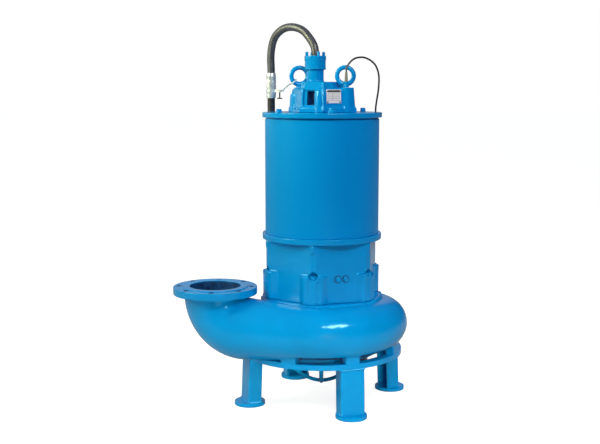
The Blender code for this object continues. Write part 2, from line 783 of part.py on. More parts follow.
def eyebolts():
    """A forged ring on a tapered collar, screwed into each boss."""
    places = (
        ("eyebolt_left", -BOSS_REACH, EYE_TURN_LEFT),
        ("eyebolt_right", BOSS_REACH, EYE_TURN_RIGHT),
    )
    for name, x, turn in places:
        bpy.ops.mesh.primitive_torus_add(
            major_segments=28, minor_segments=8, major_radius=EYE_RING, minor_radius=EYE_BAR
        )
        ring = bpy.context.object
        mesh = ring.data
        bpy.data.objects.remove(ring)
        mesh.transform(Matrix.Rotation(math.radians(90), 4, "X"))
        smooth(mesh)
        eyebolt = place(name, mesh, PAINT, (x, 0, EYE_HEIGHT), turn)
        low = BOSS_TOP + GAP - EYE_HEIGHT
        wide, narrow = EYE_COLLAR
        collar = cylinder_mesh("collar", wide, low, -EYE_RING, 24, narrow)
        turned_collar = moved(collar, (x, 0, EYE_HEIGHT))
        boolean(eyebolt, "UNION", name + "_collar", turned_collar)


def nameplate():
    """A bare plate on the cover's right-hand front face, which leans back a little."""
    low = TOP_FLANGE_TOP + GAP
    flat = Vector((COVER_FLAT_X, -COVER_FLAT_Y, low))
    point = Vector((COVER_POINT, 0, low))
    shoulder = COVER_SHOULDER - COVER_SLOPE
    up = Vector((flat.x * COVER_TAPER, flat.y * COVER_TAPER, shoulder)) - flat
    along = (point - flat).normalized()
    out = along.cross(up).normalized()
    rise = out.cross(along)
    centre = flat + along * PLATE_ALONG + rise * PLATE_RISE + out * (GAP + PLATE_SIZE[2] / 2)
    frame = Matrix((along, rise, out)).transposed().to_4x4()
    mesh = box_mesh("plate", PLATE_SIZE)
    mesh.transform(Matrix.Translation(centre) @ frame)
    place("nameplate", mesh, STAINLESS)


def sensor_entry():
    """The small gland of the sensor cable and its rubber boot."""
    x, y = SENSOR_GLAND
    nut_radius, nut_height = SENSOR_NUT
    gland = [
        (0, SENSOR_GLAND_TOP),
        (SENSOR_GLAND_RADIUS, SENSOR_GLAND_TOP),
        (SENSOR_GLAND_RADIUS, BOSS_TOP + nut_height),
        (nut_radius, BOSS_TOP + nut_height),
        (nut_radius, BOSS_TOP + GAP),
        (0, BOSS_TOP + GAP),
    ]
    turned("sensor_gland", gland, PAINT, (x, y, 0), steps=24)
    wide, narrow = BOOT_RADII
    low = SENSOR_GLAND_TOP + GAP
    boot = [(0, BOOT_TOP), (narrow, BOOT_TOP), (wide, low), (0, low)]
    turned("sensor_boot", boot, BOOT_RUBBER, (x, y, 0), steps=20)


def cable_grip():
    """A clamp on the power cable, with a lug that a rod ties to the left eyebolt."""
    x, y = POWER_DROP
    inner = POWER_RADIUS + 2 * GAP
    lip, taper = GRIP_TAPER
    profile = [
        (inner, GRIP_TOP),
        (inner + lip, GRIP_TOP),
        (GRIP_RADIUS, GRIP_TOP - taper),
        (GRIP_RADIUS, GRIP_BOTTOM + taper),
        (inner + lip, GRIP_BOTTOM),
        (inner, GRIP_BOTTOM),
    ]
    grip = turned("cable_grip", profile, ZINC, (x, y, 0), steps=28, closed=True)
    lug = box_mesh("lug", LUG_SIZE, (x + GRIP_RADIUS + LUG_OUT, y, LUG_HEIGHT))
    boolean(grip, "UNION", "grip_lug", lug)
    screw_x = x + GRIP_RADIUS + SCREW_OUT
    screw_top = LUG_HEIGHT - LUG_SIZE[2] / 2 - GAP
    shank = cylinder_mesh("shank", SCREW_RADIUS, SCREW_FOOT, screw_top, 12)
    screw = place("grip_screw", moved(shank, (screw_x, y, 0)), ZINC)
    bar = box_mesh("bar", SCREW_BAR, (screw_x, y, SCREW_FOOT))
    boolean(screw, "UNION", "screw_bar", bar)


def grip_rod():
    """A bent rod from the grip's lug that hooks round the left eyebolt's ring."""
    turn = Matrix.Rotation(math.radians(EYE_TURN_LEFT), 3, "Z")
    out = turn @ Vector((-1, 0, -1)).normalized()
    back = turn @ Vector((0, 1, 0))
    held = Vector((-BOSS_REACH, 0, EYE_HEIGHT)) + out * EYE_RING
    reach = EYE_BAR + ROD_RADIUS + 2 * GAP
    hook = []
    for step in range(8):
        angle = math.radians(-20 - 34 * step)
        hook.append(held + reach * (math.cos(angle) * out + math.sin(angle) * back))
    lug_end = POWER_DROP[0] + GRIP_RADIUS + LUG_OUT + LUG_SIZE[0] / 2
    start = Vector((lug_end + GAP, POWER_DROP[1], LUG_HEIGHT))
    straight = start + Vector((2 * ROD_RADIUS, 0, 0))
    route = [start, straight, *ROD_BENDS, *hook]
    tube("grip_rod", smooth_route(route, 0.012), ROD_RADIUS, ZINC, 2)


def power_route():
    """The power cable's own points, from the gland over to the grip and down behind the drum."""
    x, y = POWER_DROP
    return [
        (CABLE_X, 0, GLAND_TOP + GAP),
        (CABLE_X, 0, 1.428),
        (-0.034, 0.001, 1.445),
        (-0.047, 0.004, 1.470),
        (-0.086, 0.016, 1.511),
        (-0.123, 0.026, 1.528),
        (-0.159, 0.035, 1.533),
        (-0.193, 0.043, 1.527),
        (-0.222, 0.049, 1.510),
        (-0.243, 0.054, 1.485),
        (-0.255, 0.057, 1.450),
        (-0.260, 0.059, 1.410),
        (x, y, 1.365),
        (x, y, 1.300),
        (x, y, 1.235),
        (-0.260, 0.064, 1.100),
        (-0.263, 0.074, 0.950),
        (-0.269, 0.092, 0.800),
        (-0.275, 0.113, 0.650),
        (-0.281, 0.136, 0.500),
        (-0.289, 0.162, 0.370),
        (-0.299, 0.190, 0.250),
        (-0.316, 0.229, 0.140),
        (-0.346, 0.290, 0.058),
        (-0.375, 0.362, 0.0215),
    ]


def sensor_route():
    """The sensor cable's own points, over the right eyebolt and down behind the drum."""
    x, y = SENSOR_GLAND
    return [
        (x, y, BOOT_TOP + GAP),
        (x, y, 1.354),
        (0.114, -0.018, 1.366),
        (0.118, -0.008, 1.379),
        (0.127, 0.005, 1.394),
        (0.136, 0.022, 1.403),
        (0.144, 0.040, 1.406),
        (0.152, 0.060, 1.407),
        (0.161, 0.082, 1.403),
        (0.170, 0.111, 1.393),
        (0.177, 0.141, 1.376),
        (0.178, 0.169, 1.351),
        (0.177, 0.184, 1.322),
        (0.170, 0.196, 1.275),
        (0.161, 0.201, 1.230),
        (0.156, 0.203, 1.190),
        (0.155, 0.206, 1.100),
        (0.150, 0.211, 0.980),
        (0.143, 0.219, 0.840),
        (0.131, 0.230, 0.700),
        (0.116, 0.240, 0.560),
        (0.102, 0.257, 0.460),
        (0.092, 0.276, 0.420),
        (0.086, 0.301, 0.401),
        (0.080, 0.322, 0.380),
        (0.069, 0.338, 0.352),
        (0.055, 0.350, 0.306),
        (0.026, 0.374, 0.226),
        (-0.011, 0.395, 0.155),
        (-0.051, 0.411, 0.117),
        (-0.082, 0.434, 0.103),
        (-0.104, 0.455, 0.104),
        (-0.123, 0.477, 0.094),
        (-0.142, 0.502, 0.066),
        (-0.158, 0.527, 0.030),
        (-0.168, 0.553, 0.009),
        (-0.1681, 0.562, 0.0055),
    ]


def coil(name, middle, across, layers, cord_radius):
    """The outer shape of a neat round coil on the floor."""
    half = across * cord_radius
    high = layers * 2 * cord_radius
    profile = [
        (middle - half, high),
        (middle + half, high),
        (middle + half, 0),
        (middle - half, 0),
    ]
    turned(name, profile, RUBBER, (*COIL_CENTRE, 0), steps=48, closed=True)


def cables():
    tube("power_cable", smooth_route(power_route(), 0.06), POWER_RADIUS, RUBBER, 3)
    coil(
        "power_cable_coil", POWER_COIL_MIDDLE, POWER_COIL_ACROSS, POWER_COIL_LAYERS, POWER_RADIUS
    )
    tube("sensor_cable", smooth_route(sensor_route(), 0.035), SENSOR_RADIUS, RUBBER, 2)
    coil(
        "sensor_cable_coil",
        SENSOR_COIL_MIDDLE,
        SENSOR_COIL_ACROSS,
        SENSOR_COIL_LAYERS,
        SENSOR_RADIUS,
    )


clear_scene()
parts = collection("submersible_pump")
cutters = collection("cutters")
pump_axis = bpy.data.objects.new("pump_axis", None)
pump_axis.location = axis_offset()
parts.objects.link(pump_axis)

volute_casing()
base()
suction_cover()
suction_guard()
impeller()
lower_housing()
bolts()
oil_plugs()
motor()
head_cover()
cable_boss()
cable_gland()
eyebolts()
nameplate()
sensor_entry()
cable_grip()
grip_rod()
cables()
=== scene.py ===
"""Looks of a submersible pump: enamelled castings, motor drum, cables, fittings and studio.

Metres, +Z up. Points are worked out from the shaft's axis and then moved to AXIS.
"""

import math

import bmesh
import bpy
import numpy as np
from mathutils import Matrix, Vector


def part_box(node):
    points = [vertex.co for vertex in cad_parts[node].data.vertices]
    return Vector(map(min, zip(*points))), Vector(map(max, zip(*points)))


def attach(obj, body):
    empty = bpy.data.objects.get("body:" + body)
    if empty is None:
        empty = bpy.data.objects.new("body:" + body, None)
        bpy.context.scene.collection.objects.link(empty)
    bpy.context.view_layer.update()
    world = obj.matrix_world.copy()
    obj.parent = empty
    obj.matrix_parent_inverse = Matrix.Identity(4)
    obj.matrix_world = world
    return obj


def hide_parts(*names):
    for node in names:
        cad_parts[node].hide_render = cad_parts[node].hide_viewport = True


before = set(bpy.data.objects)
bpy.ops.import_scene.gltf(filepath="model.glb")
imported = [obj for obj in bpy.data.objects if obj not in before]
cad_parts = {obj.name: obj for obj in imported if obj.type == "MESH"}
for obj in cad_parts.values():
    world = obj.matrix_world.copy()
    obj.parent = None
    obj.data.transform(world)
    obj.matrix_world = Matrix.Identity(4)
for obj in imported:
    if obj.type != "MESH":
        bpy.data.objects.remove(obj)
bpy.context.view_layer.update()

bl_info = {
    "name": "Submersible pump",
    "version": (1, 0, 0),
    "blender": (4, 5, 0),
    "location": "3D View > Sidebar > Pump",
    "description": "Builds the finished pieces and studio of a submersible pump",
    "category": "Object",
}

# Shaft axis and heights, from the frame
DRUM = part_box("motor_jacket")
AXIS = np.array(((DRUM[0].x + DRUM[1].x) / 2, (DRUM[0].y + DRUM[1].y) / 2, 0.0))
GAP = 0.0003
UP = np.array((0.0, 0.0, 1.0))

# Volute and discharge: reach and section shrink from the throat round to the tongue
VOLUTE_HEIGHT = 0.327
THROAT_ANGLE = -90
TONGUE_ANGLE = 240
THROAT_REACH = 0.383
REACH_PER_DEGREE = 0.00026
THROAT_RADIUS = 0.108
RADIUS_PER_DEGREE = 0.00011
NECK_RADIUS = 0.125
BORE_RADIUS = 0.103
THROAT_BORE = 0.086
FLANGE_X = -0.351
FLANGE_LOW = 0.460
FLANGE_FACE = 0.492
FLANGE_RADIUS = 0.170
FLANGE_FACE_RADIUS = 0.133
FLANGE_BOLT_CIRCLE = 0.1475
FLANGE_HOLE = 0.011
BEND_RADIUS = FLANGE_LOW - VOLUTE_HEIGHT
BEND_X = FLANGE_X + BEND_RADIUS
NOZZLE_Y = THROAT_RADIUS - THROAT_REACH

# Casing, base and suction side
RING_BOTTOM = 0.197
RING_TOP = 0.219
RING_RADIUS = 0.332
RING_INNER = 0.292
CASING_BOTTOM = 0.225
LEG_ANGLES = (-45, 45, 135, 225)
FOOT_REACH = 0.3157
FOOT_RADIUS = 0.0625
FOOT_TOP = 0.015
LEG_WIDTH = 0.102
LEG_DEPTH = 0.055
LEG_WALL = 0.010
LEG_REACH_TOP = 0.331
LEG_REACH_BOTTOM = 0.338
SLOT_ANGLES = (-67.5, -22.5, 22.5, 67.5, 112.5, 157.5)
SLOT_TOP = 0.250
PILLAR_HALF = 0.031
COVER_BOTTOM = 0.203
SUCTION_BORE = 0.095
BELL_BOTTOM = 0.165
BELL_RADIUS = 0.118
BELL_LIP = 0.012
GUARD_BOTTOM = 0.059
GUARD_REACH = 0.180
GUARD_BAR = 0.008

# Housing, drum and head
HOUSING_BOTTOM = 0.438
CASING_TOP = HOUSING_BOTTOM - GAP
CORNER_ANGLES = tuple(45 + 60 * corner for corner in range(6))
CORNER_REACH = 0.245
HOUSING_FACE = CORNER_REACH * math.cos(math.radians(30))
LUG_REACH = 0.249
LUG_WIDTH = 0.092
LUG_DEPTH = 0.050
LUG_SEAT = 0.537
LUG_TOP = 0.551
COLUMN_BOLT_REACH = 0.235
GROOVE_RADIUS = 0.018
GROOVE_TOP = 0.655
FLUTE_REACH = 0.2625
FLUTE_RADIUS = 0.025
CHANNEL_REACH = 0.2575
CHANNEL_RADIUS = 0.013
CHANNEL_SPREAD = 0.021
CHANNEL_LOW = 0.40
CHANNEL_DOME = 0.524
JACKET_RING = (0.673, 0.696, 0.2442)
TOP_FLANGE = (1.167, 1.187, 0.243)
HEAD_FOOT = TOP_FLANGE[1] + GAP
DRUM_RADIUS = 0.2322
TOP_BOLT_CIRCLE = 0.213
TOP_BOLT_ANGLES = (-120, 60, 120)
TOP_PLUG_ANGLE = -56.5
PLUG_HEIGHT = 0.534
PLUG_SPREAD = 0.017
COVER_POINT = 0.144
COVER_FLAT = (0.050, 0.104)
COVER_TAPER = 0.94
COVER_SHOULDER = 1.283
COVER_EAVES = COVER_SHOULDER - 0.008
COVER_TOP = 1.309
BOSS_REACH = 0.101
BOSS_TOP = 1.286
CABLE_X = -0.031
CABLE_BOSS_TOP = 1.358
GLAND_TOP = 1.413
GLAND_SEAT = GLAND_TOP - 0.012
GLAND_BOLT_REACH = 0.0365
PLATE_THICK = 0.0014
PLATE_HALF = 0.027
EYE_RING = 0.0335
EYE_BAR = 0.0090
EYE_HEIGHT = 1.333
EYE_TURNS = (("eyebolt_left", -BOSS_REACH, 35), ("eyebolt_right", BOSS_REACH, 23))

# Cables and their fittings
SENSOR_GLAND = (0.113, -0.021)
SENSOR_NUT_TOP = 1.309
BOOT_TOP = 1.347
POWER_DROP = (-0.259, 0.060)
GRIP_LOW = 1.242
GRIP_HIGH = 1.346
GRIP_LUG = 0.0475
SCREW_LOW = 1.240
SCREW_HIGH = 1.2667
ROD_RADIUS = 0.003
COIL_CENTRE = np.array((-0.236, 0.552, 0.0))
POWER_ROUTE = (
    (CABLE_X, 0, GLAND_TOP + GAP), (CABLE_X, 0, 1.428), (-0.034, 0.001, 1.445),
    (-0.047, 0.004, 1.470), (-0.086, 0.016, 1.511), (-0.123, 0.026, 1.528),
    (-0.159, 0.035, 1.533), (-0.193, 0.043, 1.527), (-0.222, 0.049, 1.510),
    (-0.243, 0.054, 1.485), (-0.255, 0.057, 1.450), (-0.260, 0.059, 1.410),
    (-0.259, 0.060, 1.365), (-0.259, 0.060, 1.300), (-0.259, 0.060, 1.235),
    (-0.260, 0.064, 1.100), (-0.263, 0.074, 0.950), (-0.269, 0.092, 0.800),
    (-0.275, 0.113, 0.650), (-0.281, 0.136, 0.500), (-0.289, 0.162, 0.370),
    (-0.299, 0.190, 0.250), (-0.316, 0.229, 0.140), (-0.346, 0.290, 0.058),
    (-0.375, 0.362, 0.0215),
)
SENSOR_ROUTE = (
    (0.113, -0.021, BOOT_TOP + GAP), (0.113, -0.021, 1.354), (0.114, -0.018, 1.366),
    (0.118, -0.008, 1.379), (0.127, 0.005, 1.394), (0.136, 0.022, 1.403),
    (0.144, 0.040, 1.406), (0.152, 0.060, 1.407), (0.161, 0.082, 1.403),
    (0.170, 0.111, 1.393), (0.177, 0.141, 1.376), (0.178, 0.169, 1.351),
    (0.177, 0.184, 1.322), (0.170, 0.196, 1.275), (0.161, 0.201, 1.230),
    (0.156, 0.203, 1.190), (0.155, 0.206, 1.100), (0.150, 0.211, 0.980),
    (0.143, 0.219, 0.840), (0.131, 0.230, 0.700), (0.116, 0.240, 0.560),
    (0.102, 0.257, 0.460), (0.092, 0.276, 0.420), (0.086, 0.301, 0.401),
    (0.080, 0.322, 0.380), (0.069, 0.338, 0.352), (0.055, 0.350, 0.306),
    (0.026, 0.374, 0.226), (-0.011, 0.395, 0.155), (-0.051, 0.411, 0.117),
    (-0.082, 0.434, 0.103), (-0.104, 0.455, 0.104), (-0.123, 0.477, 0.094),
    (-0.142, 0.502, 0.066), (-0.158, 0.527, 0.030), (-0.168, 0.553, 0.009),
    (-0.1681, 0.562, 0.0055),
)

# Camera, fitted to the photo
CAMERA_LENS = 62.29
CAMERA_PLACE = (1.7483, -3.8481, 1.2853)
CAMERA_TURN = (82.631, 0.0, 24.355)


def linear(code):
    """Linear colour of an sRGB hex code."""
    value = np.array([int(code[place:place + 2], 16) for place in (1, 3, 5)]) / 255
    curve = ((value + 0.055) / 1.055) ** 2.4
    return (*np.where(value <= 0.04045, value / 12.92, curve).tolist(), 1.0)


def colour_property(label, text, code):
    return bpy.props.FloatVectorProperty(
        name=label, description=text, subtype="COLOR", size=4, min=0, max=1, default=linear(code)
    )


def length_property(label, text, default):
    return bpy.props.FloatProperty(
        name=label, description=text, unit="LENGTH", min=0.0, precision=4, default=default
    )


class PumpColours(bpy.types.PropertyGroup):
    enamel: colour_property("Enamel", "Blue of the castings", "#0080CB")
    sheet: colour_property("Drum enamel", "Blue of the drum", "#007ECB")
    sheath: colour_property("Cable sheath", "Grey of both cables", "#3B3D4A")
    boot: colour_property("Boot", "Grey of the sensor's boot", "#6F6C69")


class PumpSizes(bpy.types.PropertyGroup):
    power_cable: length_property("Power cable", "Diameter of the power cable", 0.032)
    sensor_cable: length_property("Sensor cable", "Diameter of the sensor cable", 0.0075)
    casing_grain: length_property("Casing skin", "Mesh size of the volute casting", 0.005)
    housing_grain: length_property("Housing skin", "Mesh size of the housing casting", 0.003)
    cover_grain: length_property("Cover skin", "Mesh size of the head cover casting", 0.002)


# Shapes as arrays


def polar(reach, angle, height=0.0):
    """The point at this reach from the axis, this many degrees round from +X."""
    turn = math.radians(angle)
    return np.array((reach * math.cos(turn), reach * math.sin(turn), height))


def turned_about_z(points, angle):
    """Points turned about Z: x' = x cos a - y sin a, y' = x sin a + y cos a."""
    cosine, sine = math.cos(math.radians(angle)), math.sin(math.radians(angle))
    return points @ np.array(((cosine, sine, 0), (-sine, cosine, 0), (0, 0, 1)))


def full_turn(steps):
    return np.linspace(0, 2 * np.pi, steps, endpoint=False)


def round_points(radius, turn, height):
    """Points at these radii, angles and heights: x = r cos a, y = r sin a, z = h."""
    return np.stack(np.broadcast_arrays(radius * np.cos(turn), radius * np.sin(turn), height), -1)


def grid_mesh(name, points, wrap_rows=False, wrap_columns=False):
    """Quads over an array of points; a wrapped side joins its first line again.

    Coinciding points, such as a pole's, are merged, and faces turned outwards.
    """
    rows, columns = points.shape[:2]
    index = np.arange(rows * columns).reshape(rows, columns)
    if wrap_rows:
        index = np.vstack((index, index[:1]))
    if wrap_columns:
        index = np.hstack((index, index[:, :1]))
    corners = (index[:-1, :-1], index[1:, :-1], index[1:, 1:], index[:-1, 1:])
    return closed_mesh(name, points.reshape(-1, 3), np.stack(corners, axis=-1).reshape(-1, 4))


def closed_mesh(name, points, faces):
    mesh = bpy.data.meshes.new(name)
    mesh.from_pydata(points, [], faces)
    return closed_up(mesh)


def closed_up(mesh):
    bm = bmesh.new()
    bm.from_mesh(mesh)
    bmesh.ops.remove_doubles(bm, verts=bm.verts, dist=1e-6)
    bmesh.ops.recalc_face_normals(bm, faces=bm.faces)
    bm.to_mesh(mesh)
    bm.free()
    return mesh


def eased(corners, ease, steps, closed=False):
    """A polyline with each corner bent: (1-t)^2 A + 2t(1-t) P + t^2 B between two points near P.

    A further point just beyond each bend keeps the flats beside it flat when shaded.
    """
    corners = np.asarray(corners, float)
    before, after = np.roll(corners, 1, 0), np.roll(corners, -1, 0)
    back, ahead = before - corners, after - corners
    back_length = np.linalg.norm(back, axis=1, keepdims=True)
    ahead_length = np.linalg.norm(ahead, axis=1, keepdims=True)
    ease = np.broadcast_to(ease, len(corners))[:, None]
    cut = np.minimum(ease, 0.4 * np.minimum(back_length, ahead_length))
    start, stop = corners + back / back_length * cut, corners + ahead / ahead_length * cut
    t = np.linspace(0, 1, steps + 1)[None, :, None]
    bend = (1 - t) ** 2 * start[:, None] + 2 * t * (1 - t) * corners[:, None] + t**2 * stop[:, None]
    first = (corners + back / back_length * cut * 1.25)[:, None]
    last = (corners + ahead / ahead_length * cut * 1.25)[:, None]
    bends = np.concatenate((first, bend, last), axis=1)
    if closed:
        return bends.reshape(-1, corners.shape[1])
    inner = bends[1:-1].reshape(-1, corners.shape[1])
    return np.vstack((corners[:1], inner, corners[-1:]))


def turned(name, profile, centre=(0, 0, 0), steps=192, closed=False):
    """A profile of (radius, height) turned about Z: x = r cos a, y = r sin a, z = h."""
    radius, height = np.asarray(profile, float).T
    points = round_points(radius, full_turn(steps)[:, None], height)
    return grid_mesh(name, points + np.asarray(centre), True, closed)


def prism(name, outline, low, high, lean=0.0, angle=0.0):
    """A flat outline of (x, y) carried from one height to another, its top moved lean along X."""
    outline = np.asarray(outline, float)
    count = len(outline)
    foot = np.column_stack((outline, np.full(count, low)))
    head = foot + (lean, 0, high - low)
    points = turned_about_z(np.vstack((foot, head)), angle)
    index = np.arange(count)
    following = np.roll(index, -1)
    sides = np.stack((index, following, following + count, index + count), axis=1)
    faces = [index[::-1].tolist(), (index + count).tolist(), *sides.tolist()]
    return closed_mesh(name, points, faces)


def box_outline(low_x, high_x, width):
    """A rectangle between two values of x, with its middle on y = 0."""
    half = width / 2
    return ((low_x, -half), (high_x, -half), (high_x, half), (low_x, half))


def hull(name, points):
    """The tightest closed shape round a few points."""
    mesh = bpy.data.meshes.new(name)
    mesh.from_pydata(points, [], [])
    bm = bmesh.new()
    bm.from_mesh(mesh)
    made = bmesh.ops.convex_hull(bm, input=bm.verts)
    spare = [item for item in made["geom_interior"] if isinstance(item, bmesh.types.BMVert)]
    bmesh.ops.delete(bm, geom=spare, context="VERTS")
    bm.to_mesh(mesh)
    bm.free()
    return closed_up(mesh)


def smooth_route(route, spacing):
    """Points on the smooth curve through a route's points, each pulled along by its neighbours.

    Between two points p and q with pulls u and v, and t from 0 to 1:
    (2t^3-3t^2+1) p + (t^3-2t^2+t) u + (3t^2-2t^3) q + (t^3-t^2) v.
    """
    route = np.asarray(route, float)
    ends = np.vstack((2 * route[0] - route[1], route, 2 * route[-1] - route[-2]))
    pull = (ends[2:] - ends[:-2]) / 2
    pieces = [route[:1]]
    for start, stop, pull_in, pull_out in zip(route, route[1:], pull, pull[1:]):
        count = max(1, round(float(np.linalg.norm(stop - start)) / spacing))
        t = (np.arange(1, count + 1) / count)[:, None]
        pieces.append(
            (2 * t**3 - 3 * t**2 + 1) * start
            + (t**3 - 2 * t**2 + t) * pull_in
            + (3 * t**2 - 2 * t**3) * stop
            + (t**3 - t**2) * pull_out
        )
    return np.vstack(pieces)


def crossways(path):
    """Two directions across a path at each point, carried along it without twisting."""
    along = np.gradient(path, axis=0)
    along /= np.linalg.norm(along, axis=1, keepdims=True)
    first = Vector(along[0]).orthogonal().normalized()
    side = [first]
    for before, after in zip(along, along[1:]):
        step = Vector(before).rotation_difference(Vector(after))
        side.append((step @ side[-1]).normalized())
    side = np.array(side)
    side -= (side * along).sum(1, keepdims=True) * along
    side /= np.linalg.norm(side, axis=1, keepdims=True)
    return side, np.cross(along, side)


def carried(name, path, radius, sides, seams=True):
    """A round section carried along a path: p(s) + r(s) (cos a u(s) + sin a v(s)).

    It is closed at its ends. Its map gives turns round the section, and metres along the path.
    """
    path = np.asarray(path, float)
    side, other = crossways(path)
    radius = np.broadcast_to(radius, len(path))[:, None, None]
    turn = np.linspace(0, 2 * np.pi, sides + 1)[None, :, None]
    skin = path[:, None] + radius * (np.cos(turn) * side[:, None] + np.sin(turn) * other[:, None])
    points = np.concatenate((np.repeat(path[:1, None], sides + 1, 1), skin,
                             np.repeat(path[-1:, None], sides + 1, 1)))
    steps = np.linalg.norm(np.diff(path, axis=0), axis=1)
    along = np.concatenate(((0.0,), np.cumsum(steps)))
    along = np.concatenate((along[:1], along, along[-1:]))
    round_ = np.linspace(0, 1, sides + 1)
    rows, columns = points.shape[:2]
    index = np.arange(rows * columns).reshape(rows, columns)
    corners = (index[:-1, :-1], index[:-1, 1:], index[1:, 1:], index[1:, :-1])
    quads = np.stack(corners, axis=-1).reshape(-1, 4)
    mesh = bpy.data.meshes.new(name)
    mesh.from_pydata(points.reshape(-1, 3), [], quads)
    if seams:
        layer = mesh.uv_layers.new(name="length_map")
        row, column = np.divmod(quads.reshape(-1), columns)
        layer.uv.foreach_set("vector", np.stack((round_[column], along[row]), 1).reshape(-1))
    return closed_up(mesh)


def joined(name, meshes):
    bm = bmesh.new()
    for mesh in meshes:
        bm.from_mesh(mesh)
    made = bpy.data.meshes.new(name)
    bm.to_mesh(made)
    bm.free()
    return made


def mesh_points(mesh):
    points = np.empty(len(mesh.vertices) * 3)
    mesh.vertices.foreach_get("co", points)
    return points.reshape(-1, 3)


def with_points(mesh, points):
    mesh.vertices.foreach_set("co", points.reshape(-1))
    mesh.update()
    return mesh


def moved(mesh, centre=(0, 0, 0), angle=0.0):
    """A copy of a mesh, turned about Z and then moved."""
    points = turned_about_z(mesh_points(mesh), angle) + np.asarray(centre)
    return with_points(mesh.copy(), points)


def put(name, data):
    """A new object in the scene."""
    obj = bpy.data.objects.new(name, data)
    bpy.context.scene.collection.objects.link(obj)
    return obj


def baked(mesh, steps):
    """The mesh after some modifiers, given as (kind, settings)."""
    obj = put("work", mesh)
    for kind, settings in steps:
        step = obj.modifiers.new(kind.lower(), kind)
        for name, value in settings.items():
            setattr(step, name, value)
    bpy.context.view_layer.update()
    graph = bpy.context.evaluated_depsgraph_get()
    made = bpy.data.meshes.new_from_object(obj.evaluated_get(graph))
    bpy.data.objects.remove(obj)
    return made


def cut(mesh, cutters, operation="DIFFERENCE"):
    """Each closed mesh taken from the first one, or joined on."""
    for cutter in cutters:
        tool = put("tool", cutter)
        settings = {"operation": operation, "solver": "EXACT", "object": tool}
        mesh = baked(mesh, [("BOOLEAN", settings)])
        bpy.data.objects.remove(tool)
    return mesh


def cast(name, meshes, grain, rounds):
    """Overlapping shapes cast in one skin, whose corners soften as a casting's fillets do."""
    skin = {"mode": "VOXEL", "voxel_size": grain, "use_smooth_shade": True}
    return baked(joined(name, meshes), [("REMESH", skin), ("SMOOTH", {"iterations": rounds})])


def piece(name, meshes, nodes=(), look="casting", sharp=40):
    """Put the meshes in place, with this finish, as one piece that stands for these nodes."""
    mesh = joined(name, meshes)
    mesh.shade_smooth()
    mesh.set_sharp_from_angle(angle=math.radians(sharp))
    with_points(mesh, mesh_points(mesh) + AXIS)
    mesh.materials.append(material(look))
    obj = put(name, mesh)
    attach(obj, "root")
    if nodes:
        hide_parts(*nodes)
    return obj


def paint_shade_inside(obj, within):
    """Paint shade on the faces whose middles, from the axis, lie within: they take the dark, dull
    material of painted shade.
    """
    mesh = obj.data
    centres = np.empty(len(mesh.polygons) * 3)
    mesh.polygons.foreach_get("center", centres)
    inner = within(*(centres.reshape(-1, 3) - AXIS).T)
    mesh.materials.append(material("inside"))
    mesh.polygons.foreach_set("material_index", inner.astype(np.int32))


# Materials


def add_node(tree, kind, inputs=None, **settings):
    """A node with its settings, and its inputs set to a value or linked from an output."""
    node = tree.nodes.new(kind)
    for name, value in settings.items():
        setattr(node, name, value)
    for socket, value in (inputs or {}).items():
        if isinstance(value, bpy.types.NodeSocket):
            tree.links.new(value, node.inputs[socket])
        else:
            node.inputs[socket].default_value = value
    return node


def new_material(name, colour, **shader):
    """A material whose shader takes this colour and these sockets."""
    made = bpy.data.materials.new(name)
    made.use_nodes = True
    made.diffuse_color = colour
    principled = made.node_tree.nodes["Principled BSDF"]
    principled.inputs["Base Color"].default_value = colour
    for socket, value in shader.items():
        principled.inputs[socket.replace("_", " ")].default_value = value
    return made, made.node_tree, principled


def shade(colour, factor):
    """The colour with its three channels times factor, and none above 1."""
    return (*[min(1.0, channel * factor) for channel in colour[:3]], 1.0)


def shades_of(colour, dark, light):
    """Two shades of one colour, for a noise to mix."""
    return shade(colour, dark), shade(colour, light)


def add_layer(tree, place, size, detail, shades=None, span=(0.3, 0.7), rough=None, depth=None):
    """One noise of a finish, its patches about size metres across, and what it does.

    It may mix two shades as it goes from one level of span to the other, move the roughness
    between two values, and raise the surface by depth metres over the layers before it.
    """
    shader = tree.nodes["Principled BSDF"]
    pattern = add_node(tree, "ShaderNodeTexNoise",
                       {"Vector": place, "Scale": 1 / size, "Detail": detail}).outputs["Fac"]
    if shades:
        amount = add_node(tree, "ShaderNodeMapRange",
                          {"Value": pattern, "From Min": span[0], "From Max": span[1]})
        mix = add_node(tree, "ShaderNodeMix", {0: amount.outputs["Result"], 6: shades[0],
                                               7: shades[1]}, data_type="RGBA")
        tree.links.new(mix.outputs[2], shader.inputs["Base Color"])
    if rough:
        gloss = add_node(tree, "ShaderNodeMapRange", {"Value": pattern, "From Min": 0.3,
                         "From Max": 0.7, "To Min": rough[0], "To Max": rough[1]})
        tree.links.new(gloss.outputs["Result"], shader.inputs["Roughness"])
    if depth:
        bump = add_node(tree, "ShaderNodeBump", {"Height": pattern, "Distance": depth})
        for link in shader.inputs["Normal"].links:
            tree.links.new(link.from_socket, bump.inputs["Normal"])
        tree.links.new(bump.outputs["Normal"], shader.inputs["Normal"])


def finish(name, colour, layers, scale=(1, 1, 1), **sockets):
    """A finish of noise layers on the object's own coordinates, laid in turn."""
    made, tree, _ = new_material(name, colour, **sockets)
    coordinates = add_node(tree, "ShaderNodeTexCoord").outputs["Object"]
    place = add_node(tree, "ShaderNodeMapping", {"Vector": coordinates, "Scale": scale})
    for layer in layers:
        add_layer(tree, place.outputs["Vector"], **layer)
    return made


